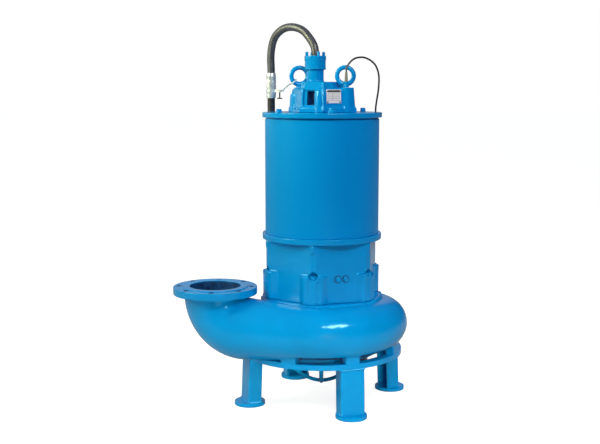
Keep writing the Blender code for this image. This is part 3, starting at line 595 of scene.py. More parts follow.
def enamel_on_casting(colour):
    """Gloss enamel on sand-cast iron: deep even blue, highlights broken by the sand's grain."""
    return finish("gloss enamel on cast iron", colour, (
        {"size": 0.18, "detail": 3, "shades": shades_of(colour, 0.93, 1.06)},
        {"size": 0.035, "detail": 1, "depth": 0.0014},
        {"size": 0.007, "detail": 3, "rough": (0.08, 0.18), "depth": 0.00018},
    ), Roughness=0.13, Specular_IOR_Level=0.6, Specular_Tint=linear("#A4E2FF"))


def enamel_on_sheet(colour):
    """Gloss enamel on rolled and ground sheet: smooth, with long faint waves round the drum."""
    return finish("gloss enamel on rolled sheet", colour, (
        {"size": 0.25, "detail": 2, "shades": shades_of(colour, 0.97, 1.03)},
        {"size": 0.003, "detail": 1, "rough": (0.29, 0.33)},
        {"size": 0.12, "detail": 1, "depth": 0.0004},
    ), (1, 1, 0.35), Roughness=0.30, Specular_IOR_Level=0.3, Specular_Tint=linear("#70D4FF"))


def cable_sheath(name, colour, ribs, dark_from):
    """Extruded chloroprene sheath: grey-black with streaks along the cable, darker past a given
    length.

    Up to that many metres from its entry it keeps its grey, and beyond that its colour is three
    tenths as bright.
    """
    made = finish(name, colour, ({"size": 0.02, "detail": 3, "rough": (0.30, 0.46)},),
                  Roughness=0.36, Specular_IOR_Level=0.6)
    tree = made.node_tree
    base = tree.nodes["Principled BSDF"].inputs["Base Color"]
    sheath_map = add_node(tree, "ShaderNodeUVMap", uv_map="length_map").outputs["UV"]
    along = add_node(tree, "ShaderNodeSeparateXYZ", {"Vector": sheath_map}).outputs["Y"]
    stretched = add_node(tree, "ShaderNodeMapping", {"Vector": sheath_map, "Scale": (16, 9, 1)})
    add_layer(tree, stretched.outputs["Vector"], 1, 2, shades_of(colour, 0.5, 1.6), depth=ribs)
    # Past the given length along the cable the colour falls to three tenths.
    past = add_node(tree, "ShaderNodeMapRange", {"Value": along, "From Min": dark_from - 0.01,
                                                 "From Max": dark_from + 0.01})
    ends = add_node(tree, "ShaderNodeMix", {0: past.outputs["Result"],
                                            6: base.links[0].from_socket,
                                            7: shade(colour, 0.3)}, data_type="RGBA")
    tree.links.new(ends.outputs[2], base)
    return made


def moulded_rubber(colour):
    """Moulded rubber boot: matte grey with a fine even tooth."""
    return finish("moulded grey rubber", colour, (
        {"size": 0.0015, "detail": 2, "shades": shades_of(colour, 0.85, 1.15), "span": (0, 1),
         "depth": 0.00012},
    ), Roughness=0.62)


def bright_zinc():
    """Zinc-plated steel: pale and bright, with cloudy grey patches from the bath."""
    return finish("zinc plated steel", linear("#D0D7E2"), (
        {"size": 0.020, "detail": 3, "shades": (linear("#B6C0CC"), linear("#E8EFFA")),
         "rough": (0.22, 0.42)},
        {"size": 0.006, "detail": 1, "depth": 0.0002},
    ), Roughness=0.4, Metallic=0.55)


def blacked_steel():
    """Oil-blacked steel screw: near black, with a soft sheen and browner worn spots."""
    return finish("oil blacked steel", linear("#2B2E31"), (
        {"size": 0.004, "detail": 3, "shades": (linear("#1F2224"), linear("#4A443E")),
         "rough": (0.32, 0.5)},
    ), Roughness=0.4, Metallic=0.7)


def brushed_plate():
    """Brushed aluminium: pale silver with fine lines along the plate, drawn 0.4 mm wide to show."""
    colour = linear("#E4DDE6")
    return finish("brushed aluminium", colour, (
        {"size": 0.0004, "detail": 2, "shades": shades_of(colour, 0.8, 1.2), "span": (0, 1),
         "rough": (0.3, 0.48)},
    ), (0.06, 0.06, 1), Roughness=0.45, Metallic=0.2)


def dark_paint():
    """Black stove enamel on the plate's strip and rivets: thin, with worn grey specks."""
    colour = linear("#23272B")
    return finish("black stove enamel", colour, (
        {"size": 0.002, "detail": 3, "shades": (colour, linear("#5A5F63")), "span": (0.45, 0.8)},
    ), Roughness=0.4)


def painted_shade_finish(colour):
    """Painted shade inside the casting, where no gloss reaches: a dark, rough, dull coat with
    darker and lighter patches.
    """
    return finish("painted shade inside the casting", colour, (
        {"size": 0.02, "detail": 4, "shades": shades_of(colour, 0.5, 1.6), "rough": (0.5, 0.75),
         "depth": 0.0006},
    ), Roughness=0.6, Specular_IOR_Level=0.3)


def bare_casting():
    """Bare grey iron casting: dark, rough, with fine sand pits."""
    colour = linear("#4A4B4E")
    return finish("bare grey cast iron", colour, (
        {"size": 0.003, "detail": 4, "shades": shades_of(colour, 0.7, 1.3), "rough": (0.5, 0.72),
         "depth": 0.0003},
    ), Roughness=0.6, Metallic=0.8)


def plain_plastic(name, code):
    """Extruded PVC or nylon: even colour with a faint mottle and a soft sheen."""
    colour = linear(code)
    return finish(name, colour, (
        {"size": 0.004, "detail": 2, "shades": shades_of(colour, 0.85, 1.12), "span": (0, 1),
         "depth": 0.00006},
    ), Roughness=0.42)


def copper_strand():
    """Drawn copper strands: bright, with thin dark lines between wires 0.5 mm thick."""
    colour = linear("#E09A6E")
    made, tree, shader = new_material("stranded copper", colour, Roughness=0.28, Metallic=1.0)
    strand_map = add_node(tree, "ShaderNodeUVMap", uv_map="length_map").outputs["UV"]
    twist = add_node(tree, "ShaderNodeMapping", {"Vector": strand_map, "Rotation": (0, 0, 0.02)})
    lines = add_node(tree, "ShaderNodeTexWave", {"Vector": twist.outputs["Vector"], "Scale": 4.0},
                     bands_direction="X").outputs["Fac"]
    mix = add_node(tree, "ShaderNodeMix", {0: lines, 6: linear("#7A4326"), 7: colour},
                   data_type="RGBA")
    tree.links.new(mix.outputs[2], shader.inputs["Base Color"])
    bump = add_node(tree, "ShaderNodeBump", {"Height": lines, "Distance": 0.0003})
    tree.links.new(bump.outputs["Normal"], shader.inputs["Normal"])
    return made


MATERIAL_MAKERS = {
    "casting": lambda colours: enamel_on_casting(colours.enamel),
    "sheet": lambda colours: enamel_on_sheet(colours.sheet),
    "power": lambda colours: cable_sheath("ribbed chloroprene sheath", colours.sheath,
                                          0.0006, 0.50),
    "sensor": lambda colours: cable_sheath("smooth chloroprene sheath", colours.sheath,
                                           0.0001, 0.05),
    # Painted shade: the dark coat given to bores, pockets and the walls behind the slots.
    "inside": lambda colours: painted_shade_finish(linear("#073B70")),
    "boot": lambda colours: moulded_rubber(colours.boot),
    "zinc": lambda colours: bright_zinc(),
    "screw": lambda colours: blacked_steel(),
    "plate": lambda colours: brushed_plate(),
    "black": lambda colours: dark_paint(),
    "iron": lambda colours: bare_casting(),
    "brown": lambda colours: plain_plastic("brown core insulation", "#6B4128"),
    "grey": lambda colours: plain_plastic("grey core insulation", "#8C9094"),
    "dark": lambda colours: plain_plastic("black core insulation", "#26282B"),
    "green": lambda colours: plain_plastic("green core insulation", "#5E8F3A"),
    "tie": lambda colours: plain_plastic("black nylon tie", "#1E1F22"),
    "copper": lambda colours: copper_strand(),
}
made_materials = {}


def material(name):
    if name not in made_materials:
        made_materials[name] = MATERIAL_MAKERS[name](bpy.context.scene.pump_colours)
    return made_materials[name]


# Cables


def coil_turns(slots, start, hand, shift):
    """Turns of a coil through (radius, height) slots, each held and then eased to the next.

    A slot takes 360 - shift degrees, the last shift of them spent crossing over: along a
    crossing t from 0 to 1 the line goes from one slot to the next as 2t^2, then 1 - 2(1-t)^2.
    """
    slots = np.asarray(slots, float)
    step = 5.0
    span = 360.0 - shift
    turn = np.arange(0, span * len(slots) - shift + step / 2, step)
    slot = np.minimum((turn // span).astype(int), len(slots) - 1)
    following = np.minimum(slot + 1, len(slots) - 1)
    t = np.clip((turn - slot * span - (span - shift)) / shift, 0, 1)
    blend = np.where(t < 0.5, 2 * t**2, 1 - 2 * (1 - t) ** 2)[:, None]
    radius, height = (slots[slot] * (1 - blend) + slots[following] * blend).T
    angle = np.radians(start + hand * turn)
    return COIL_CENTRE + round_points(radius, angle, height)


def lead_in(route_end, slot, turn_by, hand):
    """From the route's end to the first slot: radius eases as (1-t)^2, height as (1-t)^3."""
    offset = np.asarray(route_end) - COIL_CENTRE
    reach = math.hypot(offset[0], offset[1])
    angle = math.degrees(math.atan2(offset[1], offset[0]))
    t = np.linspace(0, 1, 9)[1:-1]
    radius = slot[0] + (reach - slot[0]) * (1 - t) ** 2
    height = slot[1] + (offset[2] - slot[1]) * (1 - t) ** 3
    points = round_points(radius, np.radians(angle + hand * turn_by * t), height)
    return COIL_CENTRE + points, angle + hand * turn_by


def power_path():
    """The power cable's line: its route as a curve, the way into the coil, then the turns."""
    slots = ((0.206, 0.016), (0.174, 0.016), (0.174, 0.048),
             (0.206, 0.048), (0.206, 0.080), (0.174, 0.080))
    lead, start = lead_in(POWER_ROUTE[-1], slots[0], 32, -1)
    return np.vstack((smooth_route(POWER_ROUTE, 0.012), lead, coil_turns(slots, start, -1, 75)))


def sensor_path():
    """The sensor cable's line: its route as a curve, the way into the coil, then the turns."""
    rows = [[(0.060 - 0.0075 * column, 0.00375 + 0.0075 * row) for column in range(5)]
            for row in range(5)]
    slots = [spot for number, row in enumerate(rows) for spot in (row[::-1] if number % 2 else row)]
    lead, start = lead_in(SENSOR_ROUTE[-1], slots[0], 50, 1)
    return np.vstack((smooth_route(SENSOR_ROUTE, 0.008), lead, coil_turns(slots, start, 1, 75)))


def cores(name, path, spread, core_radius, wraps):
    """Short insulated cores beyond the sheath's end, each fanning out to bare copper strands."""
    end, along = path[-1], path[-1] - path[-3]
    offset = end - COIL_CENTRE
    reach = math.hypot(offset[0], offset[1])
    start = math.atan2(offset[1], offset[0])
    hand = np.sign(np.cross(offset, along)[2])
    length = core_radius * 22
    made = []
    for number, wrap in enumerate(wraps):
        place = 2 * math.pi * number / len(wraps) + 0.6
        t = np.linspace(-0.08, 1, 16)
        fan = spread * (1 + 0.9 * np.clip(t, 0, 1) ** 2)
        turn = start + hand * length * (1 - 0.06 * number) * t / reach
        radius = reach + fan * math.cos(place)
        lift = end[2] + fan * math.sin(place)
        line = round_points(radius, turn, lift)
        line[:, :2] += COIL_CENTRE[:2]
        skin = carried(f"{name}_core", line[:13], core_radius, 12)
        strand = carried(f"{name}_strand", line[12:], core_radius * 0.62, 12)
        made += [piece(f"{name}_core_{number + 1}", [skin], (), wrap),
                 piece(f"{name}_strand_{number + 1}", [strand], (), "copper")]
    return made


def tie_mesh(angle, inner, outer, high, width, thick):
    """A flat band round the coil's bundle: its section carried round an eased rectangle."""
    loop = eased(((inner, thick / 2), (outer, thick / 2), (outer, high), (inner, high)),
                 0.012 if high > 0.05 else 0.005, 6, closed=True)
    ahead = np.roll(loop, -1, 0) - np.roll(loop, 1, 0)
    ahead /= np.linalg.norm(ahead, axis=1, keepdims=True)
    normal = np.stack((ahead[:, 1], -ahead[:, 0]), 1)
    section = eased(box_outline(-thick / 2, thick / 2, width), thick * 0.35, 2, closed=True)
    flat = loop[:, None] + normal[:, None] * section[None, :, :1]
    across = np.broadcast_to(section[None, :, 1], flat.shape[:2])
    points = np.stack((flat[..., 0], across, flat[..., 1]), axis=-1)
    return moved(grid_mesh("tie", points, True, True), COIL_CENTRE, angle)


def lay_cable(name, path, diameter, nodes, look, wraps, tie_ring, sides):
    """One cable as a single tube, with its cores and ties."""
    cable = piece(name, [carried(name, path, diameter / 2, sides)], nodes, look,
                  60)
    ties = [tie_mesh(angle, *tie_ring) for angle in (75, 195, 315)]
    band = piece(name + "_ties", ties, (), "tie")
    ends = cores(name, path, diameter * 0.2, diameter * 0.16, wraps)


class PUMP_OT_cables(bpy.types.Operator):
    """Lay the power cable and the sensor cable, each to its coil behind the pump"""

    bl_idname = "pump.cables"
    bl_label = "Cables"

    def execute(self, context):
        sizes = context.scene.pump_sizes
        lay_cable("power_lead", power_path(), sizes.power_cable,
                  ("power_cable", "power_cable_coil"), "power",
                  ("brown", "dark", "grey", "green"), (0.1578, 0.2222, 0.0958, 0.008, 0.0010), 24)
        lay_cable("sensor_lead", sensor_path(), sizes.sensor_cable,
                  ("sensor_cable", "sensor_cable_coil"), "sensor",
                  ("brown", "dark", "grey"), (0.0262, 0.0638, 0.0373, 0.004, 0.0006), 12)
        return {"FINISHED"}


# Volute casing


def volute_surface(name, extra=0.0):
    """The volute's skin, at angle b of section s: centre + radius (cos b outward + sin b up).

    On the spiral the centre is reach - radius from the axis, both falling evenly with the
    angle; then come a straight nozzle that widens along -X and a quarter bend upwards.
    """
    angle = np.arange(TONGUE_ANGLE, THROAT_ANGLE, -2.0)
    spun = np.radians(angle)
    radius = THROAT_RADIUS - RADIUS_PER_DEGREE * (angle - THROAT_ANGLE)
    reach = THROAT_REACH - REACH_PER_DEGREE * (angle - THROAT_ANGLE)
    outward = round_points(1.0, spun, 0.0)
    spiral = outward * (reach - radius)[:, None] + UP * VOLUTE_HEIGHT
    nozzle, nozzle_radius, side, up = nozzle_line(THROAT_RADIUS, NECK_RADIUS, 0.0, 0.008)
    return tube_mesh(name, np.vstack((spiral, nozzle)),
                     np.concatenate((radius, nozzle_radius)) + extra,
                     np.vstack((outward, side)), np.vstack((np.tile(UP, (len(angle), 1)), up)))


def nozzle_line(throat, neck, start, rise):
    """Centres, radii and the two crosswise directions of the nozzle and its bend."""
    x = np.linspace(start, BEND_X, 28)
    straight = np.stack((x, np.full_like(x, NOZZLE_Y), np.full_like(x, VOLUTE_HEIGHT)), 1)
    widening = throat + (neck - throat) * x / BEND_X
    turn = np.radians(np.linspace(3, 90, 30))
    bend = np.stack((BEND_X - BEND_RADIUS * np.sin(turn), np.full_like(turn, NOZZLE_Y),
                     VOLUTE_HEIGHT + BEND_RADIUS * (1 - np.cos(turn))), 1)
    top = bend[-1:] + (0, 0, rise)
    line = np.vstack((straight, bend, top))
    radius = np.concatenate((widening, np.full(len(bend) + 1, neck)))
    lift = np.concatenate((np.zeros(len(x)), turn, turn[-1:]))
    up = np.stack((np.sin(lift), np.zeros_like(lift), np.cos(lift)), 1)
    side = np.tile((0.0, -1.0, 0.0), (len(line), 1))
    return line, radius, side, up


def bore_line():
    """The bore's line, from inside the casing to above the flange."""
    return nozzle_line(THROAT_BORE, BORE_RADIUS, -0.02, 0.06)


def tube_mesh(name, line, radius, side, up):
    """Round sections along a line, closed at both ends by a point."""
    sides = 96
    turn = full_turn(sides)[None, :, None]
    ring = np.cos(turn) * side[:, None] + np.sin(turn) * up[:, None]
    skin = line[:, None] + radius[:, None, None] * ring
    start = np.repeat(line[:1, None], sides, 1)
    stop = np.repeat(line[-1:, None], sides, 1)
    return grid_mesh(name, np.concatenate((start, skin, stop)), False, True)


def pillar_mesh(angle):
    """A lug under the volute: its outline in reach and height, carried across its width.

    Its foot runs on inside the base ring, so that the two faces meet without a step.
    """
    outline = np.array(((0.296, RING_BOTTOM + 0.008), (0.3305, RING_BOTTOM + 0.008),
                        (0.3305, 0.247), (0.305, 0.304), (0.286, 0.304), (0.286, RING_TOP + GAP),
                        (0.296, RING_TOP + GAP)))
    mesh = prism("pillar", outline, -PILLAR_HALF, PILLAR_HALF)
    reach, height, across = mesh_points(mesh).T
    with_points(mesh, np.stack((reach, across, height), 1))
    return moved(closed_up(mesh), angle=angle)


def slot_mesh(angle):
    """The space under the volute between two pillars."""
    points = []
    for pillar, side in ((angle - 22.5, 1), (angle + 22.5, -1)):
        across = polar(side * (PILLAR_HALF - 0.002), pillar + 90)
        points += [polar(reach, pillar, height) + across
                   for reach in (0.262, 0.380) for height in (RING_BOTTOM, SLOT_TOP)]
    return hull("slot", points)


def inner_walls(x, y, z):
    """The bore, no farther from its line than its radius, and the walls behind the slots, where
    shade is painted dark.
    """
    line, radius = bore_line()[:2]
    away = np.stack([np.linalg.norm((x - a, y - b, z - c), axis=0) for a, b, c in line])
    in_bore = (away < radius[:, None] + 0.002).any(0)
    angle = np.degrees(np.arctan2(y, x))
    at_slots = (angle < -160) | (angle > -88)
    return in_bore | at_slots & (np.hypot(x, y) < 0.300) & (z < SLOT_TOP + 0.013)


def flange_walls(x, y, z):
    """The bore of the flange and its bolt holes, below its top edges, where shade is painted dark.
    """
    across, along = x - FLANGE_X, y - NOZZLE_Y
    reach = np.hypot(across, along)
    near = np.abs(np.degrees(np.arctan2(along, across)) % 45 - 22.5)
    hole = np.hypot(reach - FLANGE_BOLT_CIRCLE, np.radians(near) * FLANGE_BOLT_CIRCLE)
    open_part = (reach < BORE_RADIUS + 0.001) | (hole < FLANGE_HOLE + 0.0005)
    return (z < FLANGE_FACE - 0.003) & open_part


def casing_shapes():
    """The slotted spiral and nozzle, the core with a wall behind the slots, lugs and pillars."""
    core = turned("core", ((0, CASING_BOTTOM), (0.280, CASING_BOTTOM), (0.280, 0.262),
                           (CORNER_REACH + 0.001, 0.270), (CORNER_REACH + 0.001, CASING_TOP),
                           (0, CASING_TOP)))
    outline = box_outline(LUG_REACH - LUG_DEPTH, LUG_REACH + 0.003, LUG_WIDTH + 0.006)
    lugs = [prism("lug", outline, VOLUTE_HEIGHT + 0.05, CASING_TOP, angle=angle)
            for angle in CORNER_ANGLES]
    pillars = [pillar_mesh(45 * number) for number in range(8)]
    spiral = cut(volute_surface("volute"), [joined("slots", [slot_mesh(a) for a in SLOT_ANGLES])])
    return [spiral, core, *lugs, *pillars]


def discharge_flange():
    """The flange's turned disc with its raised face and eight holes."""
    step = FLANGE_FACE - 0.003
    centre = (FLANGE_X, NOZZLE_Y, 0)
    profile = eased(((BORE_RADIUS, FLANGE_LOW), (FLANGE_RADIUS, FLANGE_LOW), (FLANGE_RADIUS, step),
                     (FLANGE_FACE_RADIUS, step), (FLANGE_FACE_RADIUS, FLANGE_FACE),
                     (BORE_RADIUS, FLANGE_FACE)), (0.001, 0.003, 0.002, 0.001, 0.001, 0.002),
                    3, closed=True)
    disc = turned("discharge_disc", profile, centre, closed=True)
    hole = turned("hole", ((0, FLANGE_LOW - 0.01), (FLANGE_HOLE, FLANGE_LOW - 0.01),
                           (FLANGE_HOLE, FLANGE_FACE + 0.01), (0, FLANGE_FACE + 0.01)), steps=40)
    spots = [polar(FLANGE_BOLT_CIRCLE, 22.5 + 45 * number) + centre for number in range(8)]
    return cut(disc, [joined("holes", [moved(hole, spot) for spot in spots])])


class PUMP_OT_volute(bpy.types.Operator):
    """Cast the volute with its core and pillars, bore it, and set the discharge flange on it"""

    bl_idname = "pump.volute"
    bl_label = "Volute casing"

    def execute(self, context):
        grain = context.scene.pump_sizes.casing_grain
        body = cast("volute_casting", casing_shapes(), grain, 5)
        bore = tube_mesh("bore", *bore_line())
        eye = turned("eye", ((0, 0.2), (0.100, 0.2), (0.100, 0.300), (0, 0.300)))
        body = cut(body, [bore, eye])
        # The bore, the walls behind the slots and the flange's bore and holes take painted shade.
        paint_shade_inside(piece("volute_casting", [body], ("volute_casing",)), inner_walls)
        paint_shade_inside(piece("discharge_disc", [discharge_flange()], ("volute_casing",)),
                      flange_walls)
        return {"FINISHED"}


# Base and suction side


def leg_outline():
    """A channel that opens towards the axis, its outer corners rounder than its inner ones."""
    half = LEG_WIDTH / 2
    corners = ((0, -half), (0, half), (-LEG_DEPTH, half), (-LEG_DEPTH, half - LEG_WALL),
               (-LEG_WALL, half - LEG_WALL), (-LEG_WALL, LEG_WALL - half),
               (-LEG_DEPTH, LEG_WALL - half), (-LEG_DEPTH, -half))
    return eased(corners, (0.009, 0.009, 0.002, 0.002, 0.005, 0.005, 0.002, 0.002), 5, closed=True)


def leg_mesh(angle):
    """The channel's outline carried from the pad up to the ring, leaning as its reach changes."""
    outline = leg_outline() + (LEG_REACH_BOTTOM, 0)
    return prism("leg", outline, FOOT_TOP + GAP, RING_BOTTOM - GAP,
                 LEG_REACH_TOP - LEG_REACH_BOTTOM, angle)


def weld_bead(height, reach, angle):
    """A rippled bead round the leg's outer sides: radius r (1 + 0.16 |sin|) along the outline."""
    half = LEG_WIDTH / 2
    corners = ((-LEG_DEPTH + 0.004, -half, 0), (0, -half, 0), (0, half, 0),
               (-LEG_DEPTH + 0.004, half, 0))
    line = smooth_route(eased(corners, 0.009, 4), 0.0014) + (reach, 0, height)
    ripple = 0.0034 * (1 + 0.16 * np.abs(np.sin(np.arange(len(line)) * 0.9)))
    return carried("bead", turned_about_z(line, angle), ripple, 8, False)


def base_ring():
    """A flat ring's section turned about the shaft, less the volute's skin and 0.8 mm round it."""
    profile = eased(((RING_INNER, RING_BOTTOM), (RING_RADIUS, RING_BOTTOM),
                     (RING_RADIUS, RING_TOP), (RING_INNER, RING_TOP)), 0.002, 3, closed=True)
    ring = turned("ring", profile, closed=True)
    return cut(ring, [volute_surface("belly", 0.0008)])


def suction_cover():
    """The section of cover and bell mouth turned about the shaft, clear of the volute's skin."""
    corners = ((SUCTION_BORE, CASING_BOTTOM - GAP), (0.235, CASING_BOTTOM - GAP),
               (0.235, COVER_BOTTOM), (BELL_RADIUS + BELL_LIP, COVER_BOTTOM),
               (BELL_RADIUS, COVER_BOTTOM - BELL_LIP), (BELL_RADIUS, BELL_BOTTOM),
               (BELL_RADIUS - BELL_LIP, BELL_BOTTOM), (SUCTION_BORE, BELL_BOTTOM + BELL_LIP))
    ease = (0.001, 0.002, 0.003, 0.006, 0.006, 0.003, 0.004, 0.006)
    cover = turned("cover", eased(corners, ease, 4, closed=True), steps=144, closed=True)
    return cut(cover, [volute_surface("belly", 0.0008)])


def guard_bar(turn):
    """A bar hung in a bow under the bell mouth: its height rises as the square of its reach."""
    across = np.linspace(-1, 1, 41)
    low = GUARD_BOTTOM + GUARD_BAR
    height = low + (COVER_BOTTOM - GUARD_BAR - GAP - low) * across**2
    line = np.stack((GUARD_REACH * across, np.zeros_like(across), height), 1)
    feet = line[[0, -1]] * (1, 1, 0) + (0, 0, COVER_BOTTOM - GAP)
    line = np.vstack((feet[:1], line, feet[1:]))
    return carried("bar", turned_about_z(line, turn), GUARD_BAR, 16, False)


class PUMP_OT_base(bpy.types.Operator):
    """Make the base ring, legs, pads and weld beads, and the suction cover with its guard"""

    bl_idname = "pump.base"
    bl_label = "Base and suction side"

    def execute(self, context):
        piece("ring_plate", [base_ring()], ("base_ring",), sharp=30)
        foot = turned("foot", eased(((0, 0), (FOOT_RADIUS, 0), (FOOT_RADIUS, FOOT_TOP),
                                     (0, FOOT_TOP)), 0.0022, 3), steps=96)
        for number, angle in enumerate(LEG_ANGLES, 1):
            beads = [weld_bead(FOOT_TOP + 0.002, LEG_REACH_BOTTOM, angle),
                     weld_bead(RING_BOTTOM - 0.002, LEG_REACH_TOP, angle)]
            piece(f"leg_channel_{number}", [leg_mesh(angle), *beads], (f"leg_{number}",))
            piece(f"foot_disc_{number}", [moved(foot, polar(FOOT_REACH, angle))],
                  (f"foot_pad_{number}",))
        piece("suction_casting", [suction_cover()], ("suction_cover",))
        piece("guard_bars", [guard_bar(22.5), guard_bar(112.5)], ("suction_guard",))
        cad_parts["impeller"].material_slots[0].material = material("iron")
        return {"FINISHED"}


# Housing and drum


def housing_shapes():
    """A six-sided block, and a lug for each of its corners."""
    corners = [polar(CORNER_REACH, angle)[:2] for angle in CORNER_ANGLES]
    top = JACKET_RING[0] - GAP
    half, inner = LUG_WIDTH / 2, LUG_WIDTH / 2 + 0.008
    outline = ((LUG_REACH - LUG_DEPTH, -inner), (LUG_REACH - 0.034, -inner),
               (LUG_REACH - 0.012, 0.004 - half), (LUG_REACH, 0.020 - half),
               (LUG_REACH, half - 0.020), (LUG_REACH - 0.012, half - 0.004),
               (LUG_REACH - 0.034, inner), (LUG_REACH - LUG_DEPTH, inner))
    lugs = [prism("lug", outline, HOUSING_BOTTOM, LUG_TOP, angle=angle) for angle in CORNER_ANGLES]
    return prism("block", corners, HOUSING_BOTTOM, top), lugs


def housing_cuts():
    """At each corner a shallow flute, a recess over the bolt, and two channels beside a rib."""
    groove = turned("groove", ((0, LUG_SEAT), (GROOVE_RADIUS, LUG_SEAT),
                               (GROOVE_RADIUS, LUG_SEAT + 0.018), (0.004, LUG_SEAT + 0.030),
                               (0, LUG_SEAT + 0.030)), steps=48)
    flute = turned("flute", ((0, LUG_SEAT + 0.014), (FLUTE_RADIUS, LUG_SEAT + 0.014),
                             (FLUTE_RADIUS, GROOVE_TOP - 0.015), (0, GROOVE_TOP)), steps=64)
    rise = np.linspace(0, np.pi / 2, 10)
    dome = np.stack((CHANNEL_RADIUS * np.cos(rise),
                     CHANNEL_DOME + CHANNEL_RADIUS * np.sin(rise)), 1)
    channel = turned("channel", ((0, CHANNEL_LOW), (CHANNEL_RADIUS, CHANNEL_LOW), *dome.tolist()),
                     steps=48)
    grooves = [moved(groove, polar(COLUMN_BOLT_REACH, angle)) for angle in CORNER_ANGLES]
    channels = [moved(channel, polar(CHANNEL_REACH, angle) + polar(side, angle + 90))
                for angle in CORNER_ANGLES for side in (-CHANNEL_SPREAD, CHANNEL_SPREAD)]
    flutes = [moved(flute, polar(FLUTE_REACH, angle)) for angle in CORNER_ANGLES]
    return grooves, channels, flutes


def plug_rings(inner, outer, low, high):
    """A square-edged ring round each plug, from one depth to another."""
    corners = ((inner, low), (outer, low), (outer, high), (inner, high))
    ring = turned("seat", eased(corners, 0.0004, 2, closed=True), steps=64, closed=True)
    return [laid(ring, side) for side in (-PLUG_SPREAD, PLUG_SPREAD)]


def laid(mesh, side):
    """A mesh turned about Z, laid against the housing's front face with its Z pointing out."""
    x, y, out = mesh_points(mesh).T
    placed = np.stack((HOUSING_FACE + out, side + y, PLUG_HEIGHT + x), 1)
    return moved(closed_up(with_points(mesh.copy(), placed)), angle=-45)


def plug_mesh(side):
    """A domed plug with a dimple, turned and laid against the housing's front face."""
    profile = eased(((0, 0.0035), (0.004, 0.0035), (0.0055, 0.006), (0.0115, 0.006),
                     (0.0115, -0.002), (0, -0.002)), 0.0012, 3)
    return laid(turned("plug", profile, steps=48), side)


class PUMP_OT_housing(bpy.types.Operator):
    """Cast the six-sided housing with its lugs and grooves, and fit its plugs"""

    bl_idname = "pump.housing"
    bl_label = "Lower housing"

    def execute(self, context):
        block, lugs = housing_shapes()
        rough = cut(block, [joined("lugs", lugs)], "UNION")
        rough = cut(rough, [joined("cuts", shapes) for shapes in housing_cuts()])
        body = cast("housing_casting", [rough], context.scene.pump_sizes.housing_grain, 6)
        body = cut(body, [joined("seats", plug_rings(0.0120, 0.0160, -0.005, 0.005))])
        piece("housing_casting", [body], ("lower_housing",))
        # Dark rings of painted shade in the plugs' seats, where the gap round each plug is in
        # shade.
        piece("plug_shade_rings", plug_rings(0.0122, 0.0158, -0.0048, -0.0008), (), "inside")
        for number, side in enumerate((-PLUG_SPREAD, PLUG_SPREAD), 1):
            piece(f"plug_{number}", [plug_mesh(side)], (f"oil_plug_{number}",))
        return {"FINISHED"}


class PUMP_OT_drum(bpy.types.Operator):
    """Turn the motor drum with its two rings"""

    bl_idname = "pump.drum"
    bl_label = "Motor drum"

    def execute(self, context):
        low, high = JACKET_RING[1] + GAP, TOP_FLANGE[0] - GAP
        groove = DRUM_RADIUS - 0.004
        drum = eased(((0, low), (DRUM_RADIUS, low), (DRUM_RADIUS, high - 0.006),
                      (groove, high - 0.006), (groove, high), (0, high)), 0.001, 3)
        piece("drum_sheet", [turned("drum", drum, steps=256)], ("motor_jacket",), "sheet")
        for name, (bottom, top, radius), node in (("lower_ring", JACKET_RING, "jacket_ring"),
                                                  ("upper_ring", TOP_FLANGE, "top_flange")):
            profile = eased(((0, bottom), (radius, bottom), (radius, top), (0, top)), 0.003, 4)
            piece(name, [turned(name, profile, steps=256)], (node,))
        return {"FINISHED"}


# Head


def cover_outline(scale, height):
    """The head cover's six-sided plan, its points along X and its flats across Y."""
    flat_x, flat_y = COVER_FLAT
    corners = ((COVER_POINT, 0), (flat_x, flat_y), (-flat_x, flat_y), (-COVER_POINT, 0),
               (-flat_x, -flat_y), (flat_x, -flat_y))
    return [(x * scale, y * scale, height) for x, y in corners]


def boss_shapes():
    """Under the left eyebolt a slim column on a wide foot, under the right one a tapered boss."""
    left = ((0, HEAD_FOOT), (0.042, HEAD_FOOT), (0.0385, 1.252), (0.036, 1.262), (0.024, 1.266),
            (0.0225, BOSS_TOP), (0, BOSS_TOP))
    right = ((0, HEAD_FOOT), (0.042, HEAD_FOOT), (0.0355, 1.262), (0.0340, BOSS_TOP), (0, BOSS_TOP))
    return [turned("left_boss", left, (-BOSS_REACH, 0, 0), 64),
            turned("right_boss", right, (BOSS_REACH, 0, 0), 64)]


def cover_shapes():
    """Tapered block on its foot, deck, bosses, and a column and a fold on each broad side."""
    low = HEAD_FOOT
    block = [*cover_outline(1, low), *cover_outline(COVER_TAPER, COVER_EAVES),
             *cover_outline(0.88, COVER_SHOULDER)]
    foot = [point for scale, rise in ((1.055, 0), (1.045, 0.016), (0.995, 0.026))
            for point in cover_outline(scale, low + rise)]
    deck_foot = ((-0.076, 0.056), (-0.043, 0.090), (0.043, 0.090), (0.074, 0.056))
    deck_head = ((-0.066, 0.050), (-0.040, 0.078), (0.040, 0.078), (0.062, 0.050))
    deck = [(x, side * y, COVER_SHOULDER - 0.004) for x, y in deck_foot for side in (-1, 1)]
    deck += [(x, side * y, COVER_TOP) for x, y in deck_head for side in (-1, 1)]
    fold_line = smooth_route(((0.0545, -0.1135, low + 0.006), (0.0515, -0.107, low + 0.022),
                              (0.0478, -0.0990, 1.262), (0.0450, -0.0930, 1.282),
                              (0.0415, -0.0810, 1.305)), 0.004)
    column_line = smooth_route(((0.0280, -0.0930, low), (0.0270, -0.0905, 1.240),
                                (0.0260, -0.0865, 1.272)), 0.004)
    fold = carried("fold", fold_line, 0.0046, 16, False)
    taper = np.linspace(0.0195, 0.0165, len(column_line))
    column = carried("column", column_line, taper, 32, False)
    sides = [moved(shape, angle=angle) for shape in (fold, column) for angle in (0, 180)]
    return [hull("block", block), hull("foot", foot), hull("deck", deck), *sides, *boss_shapes()]


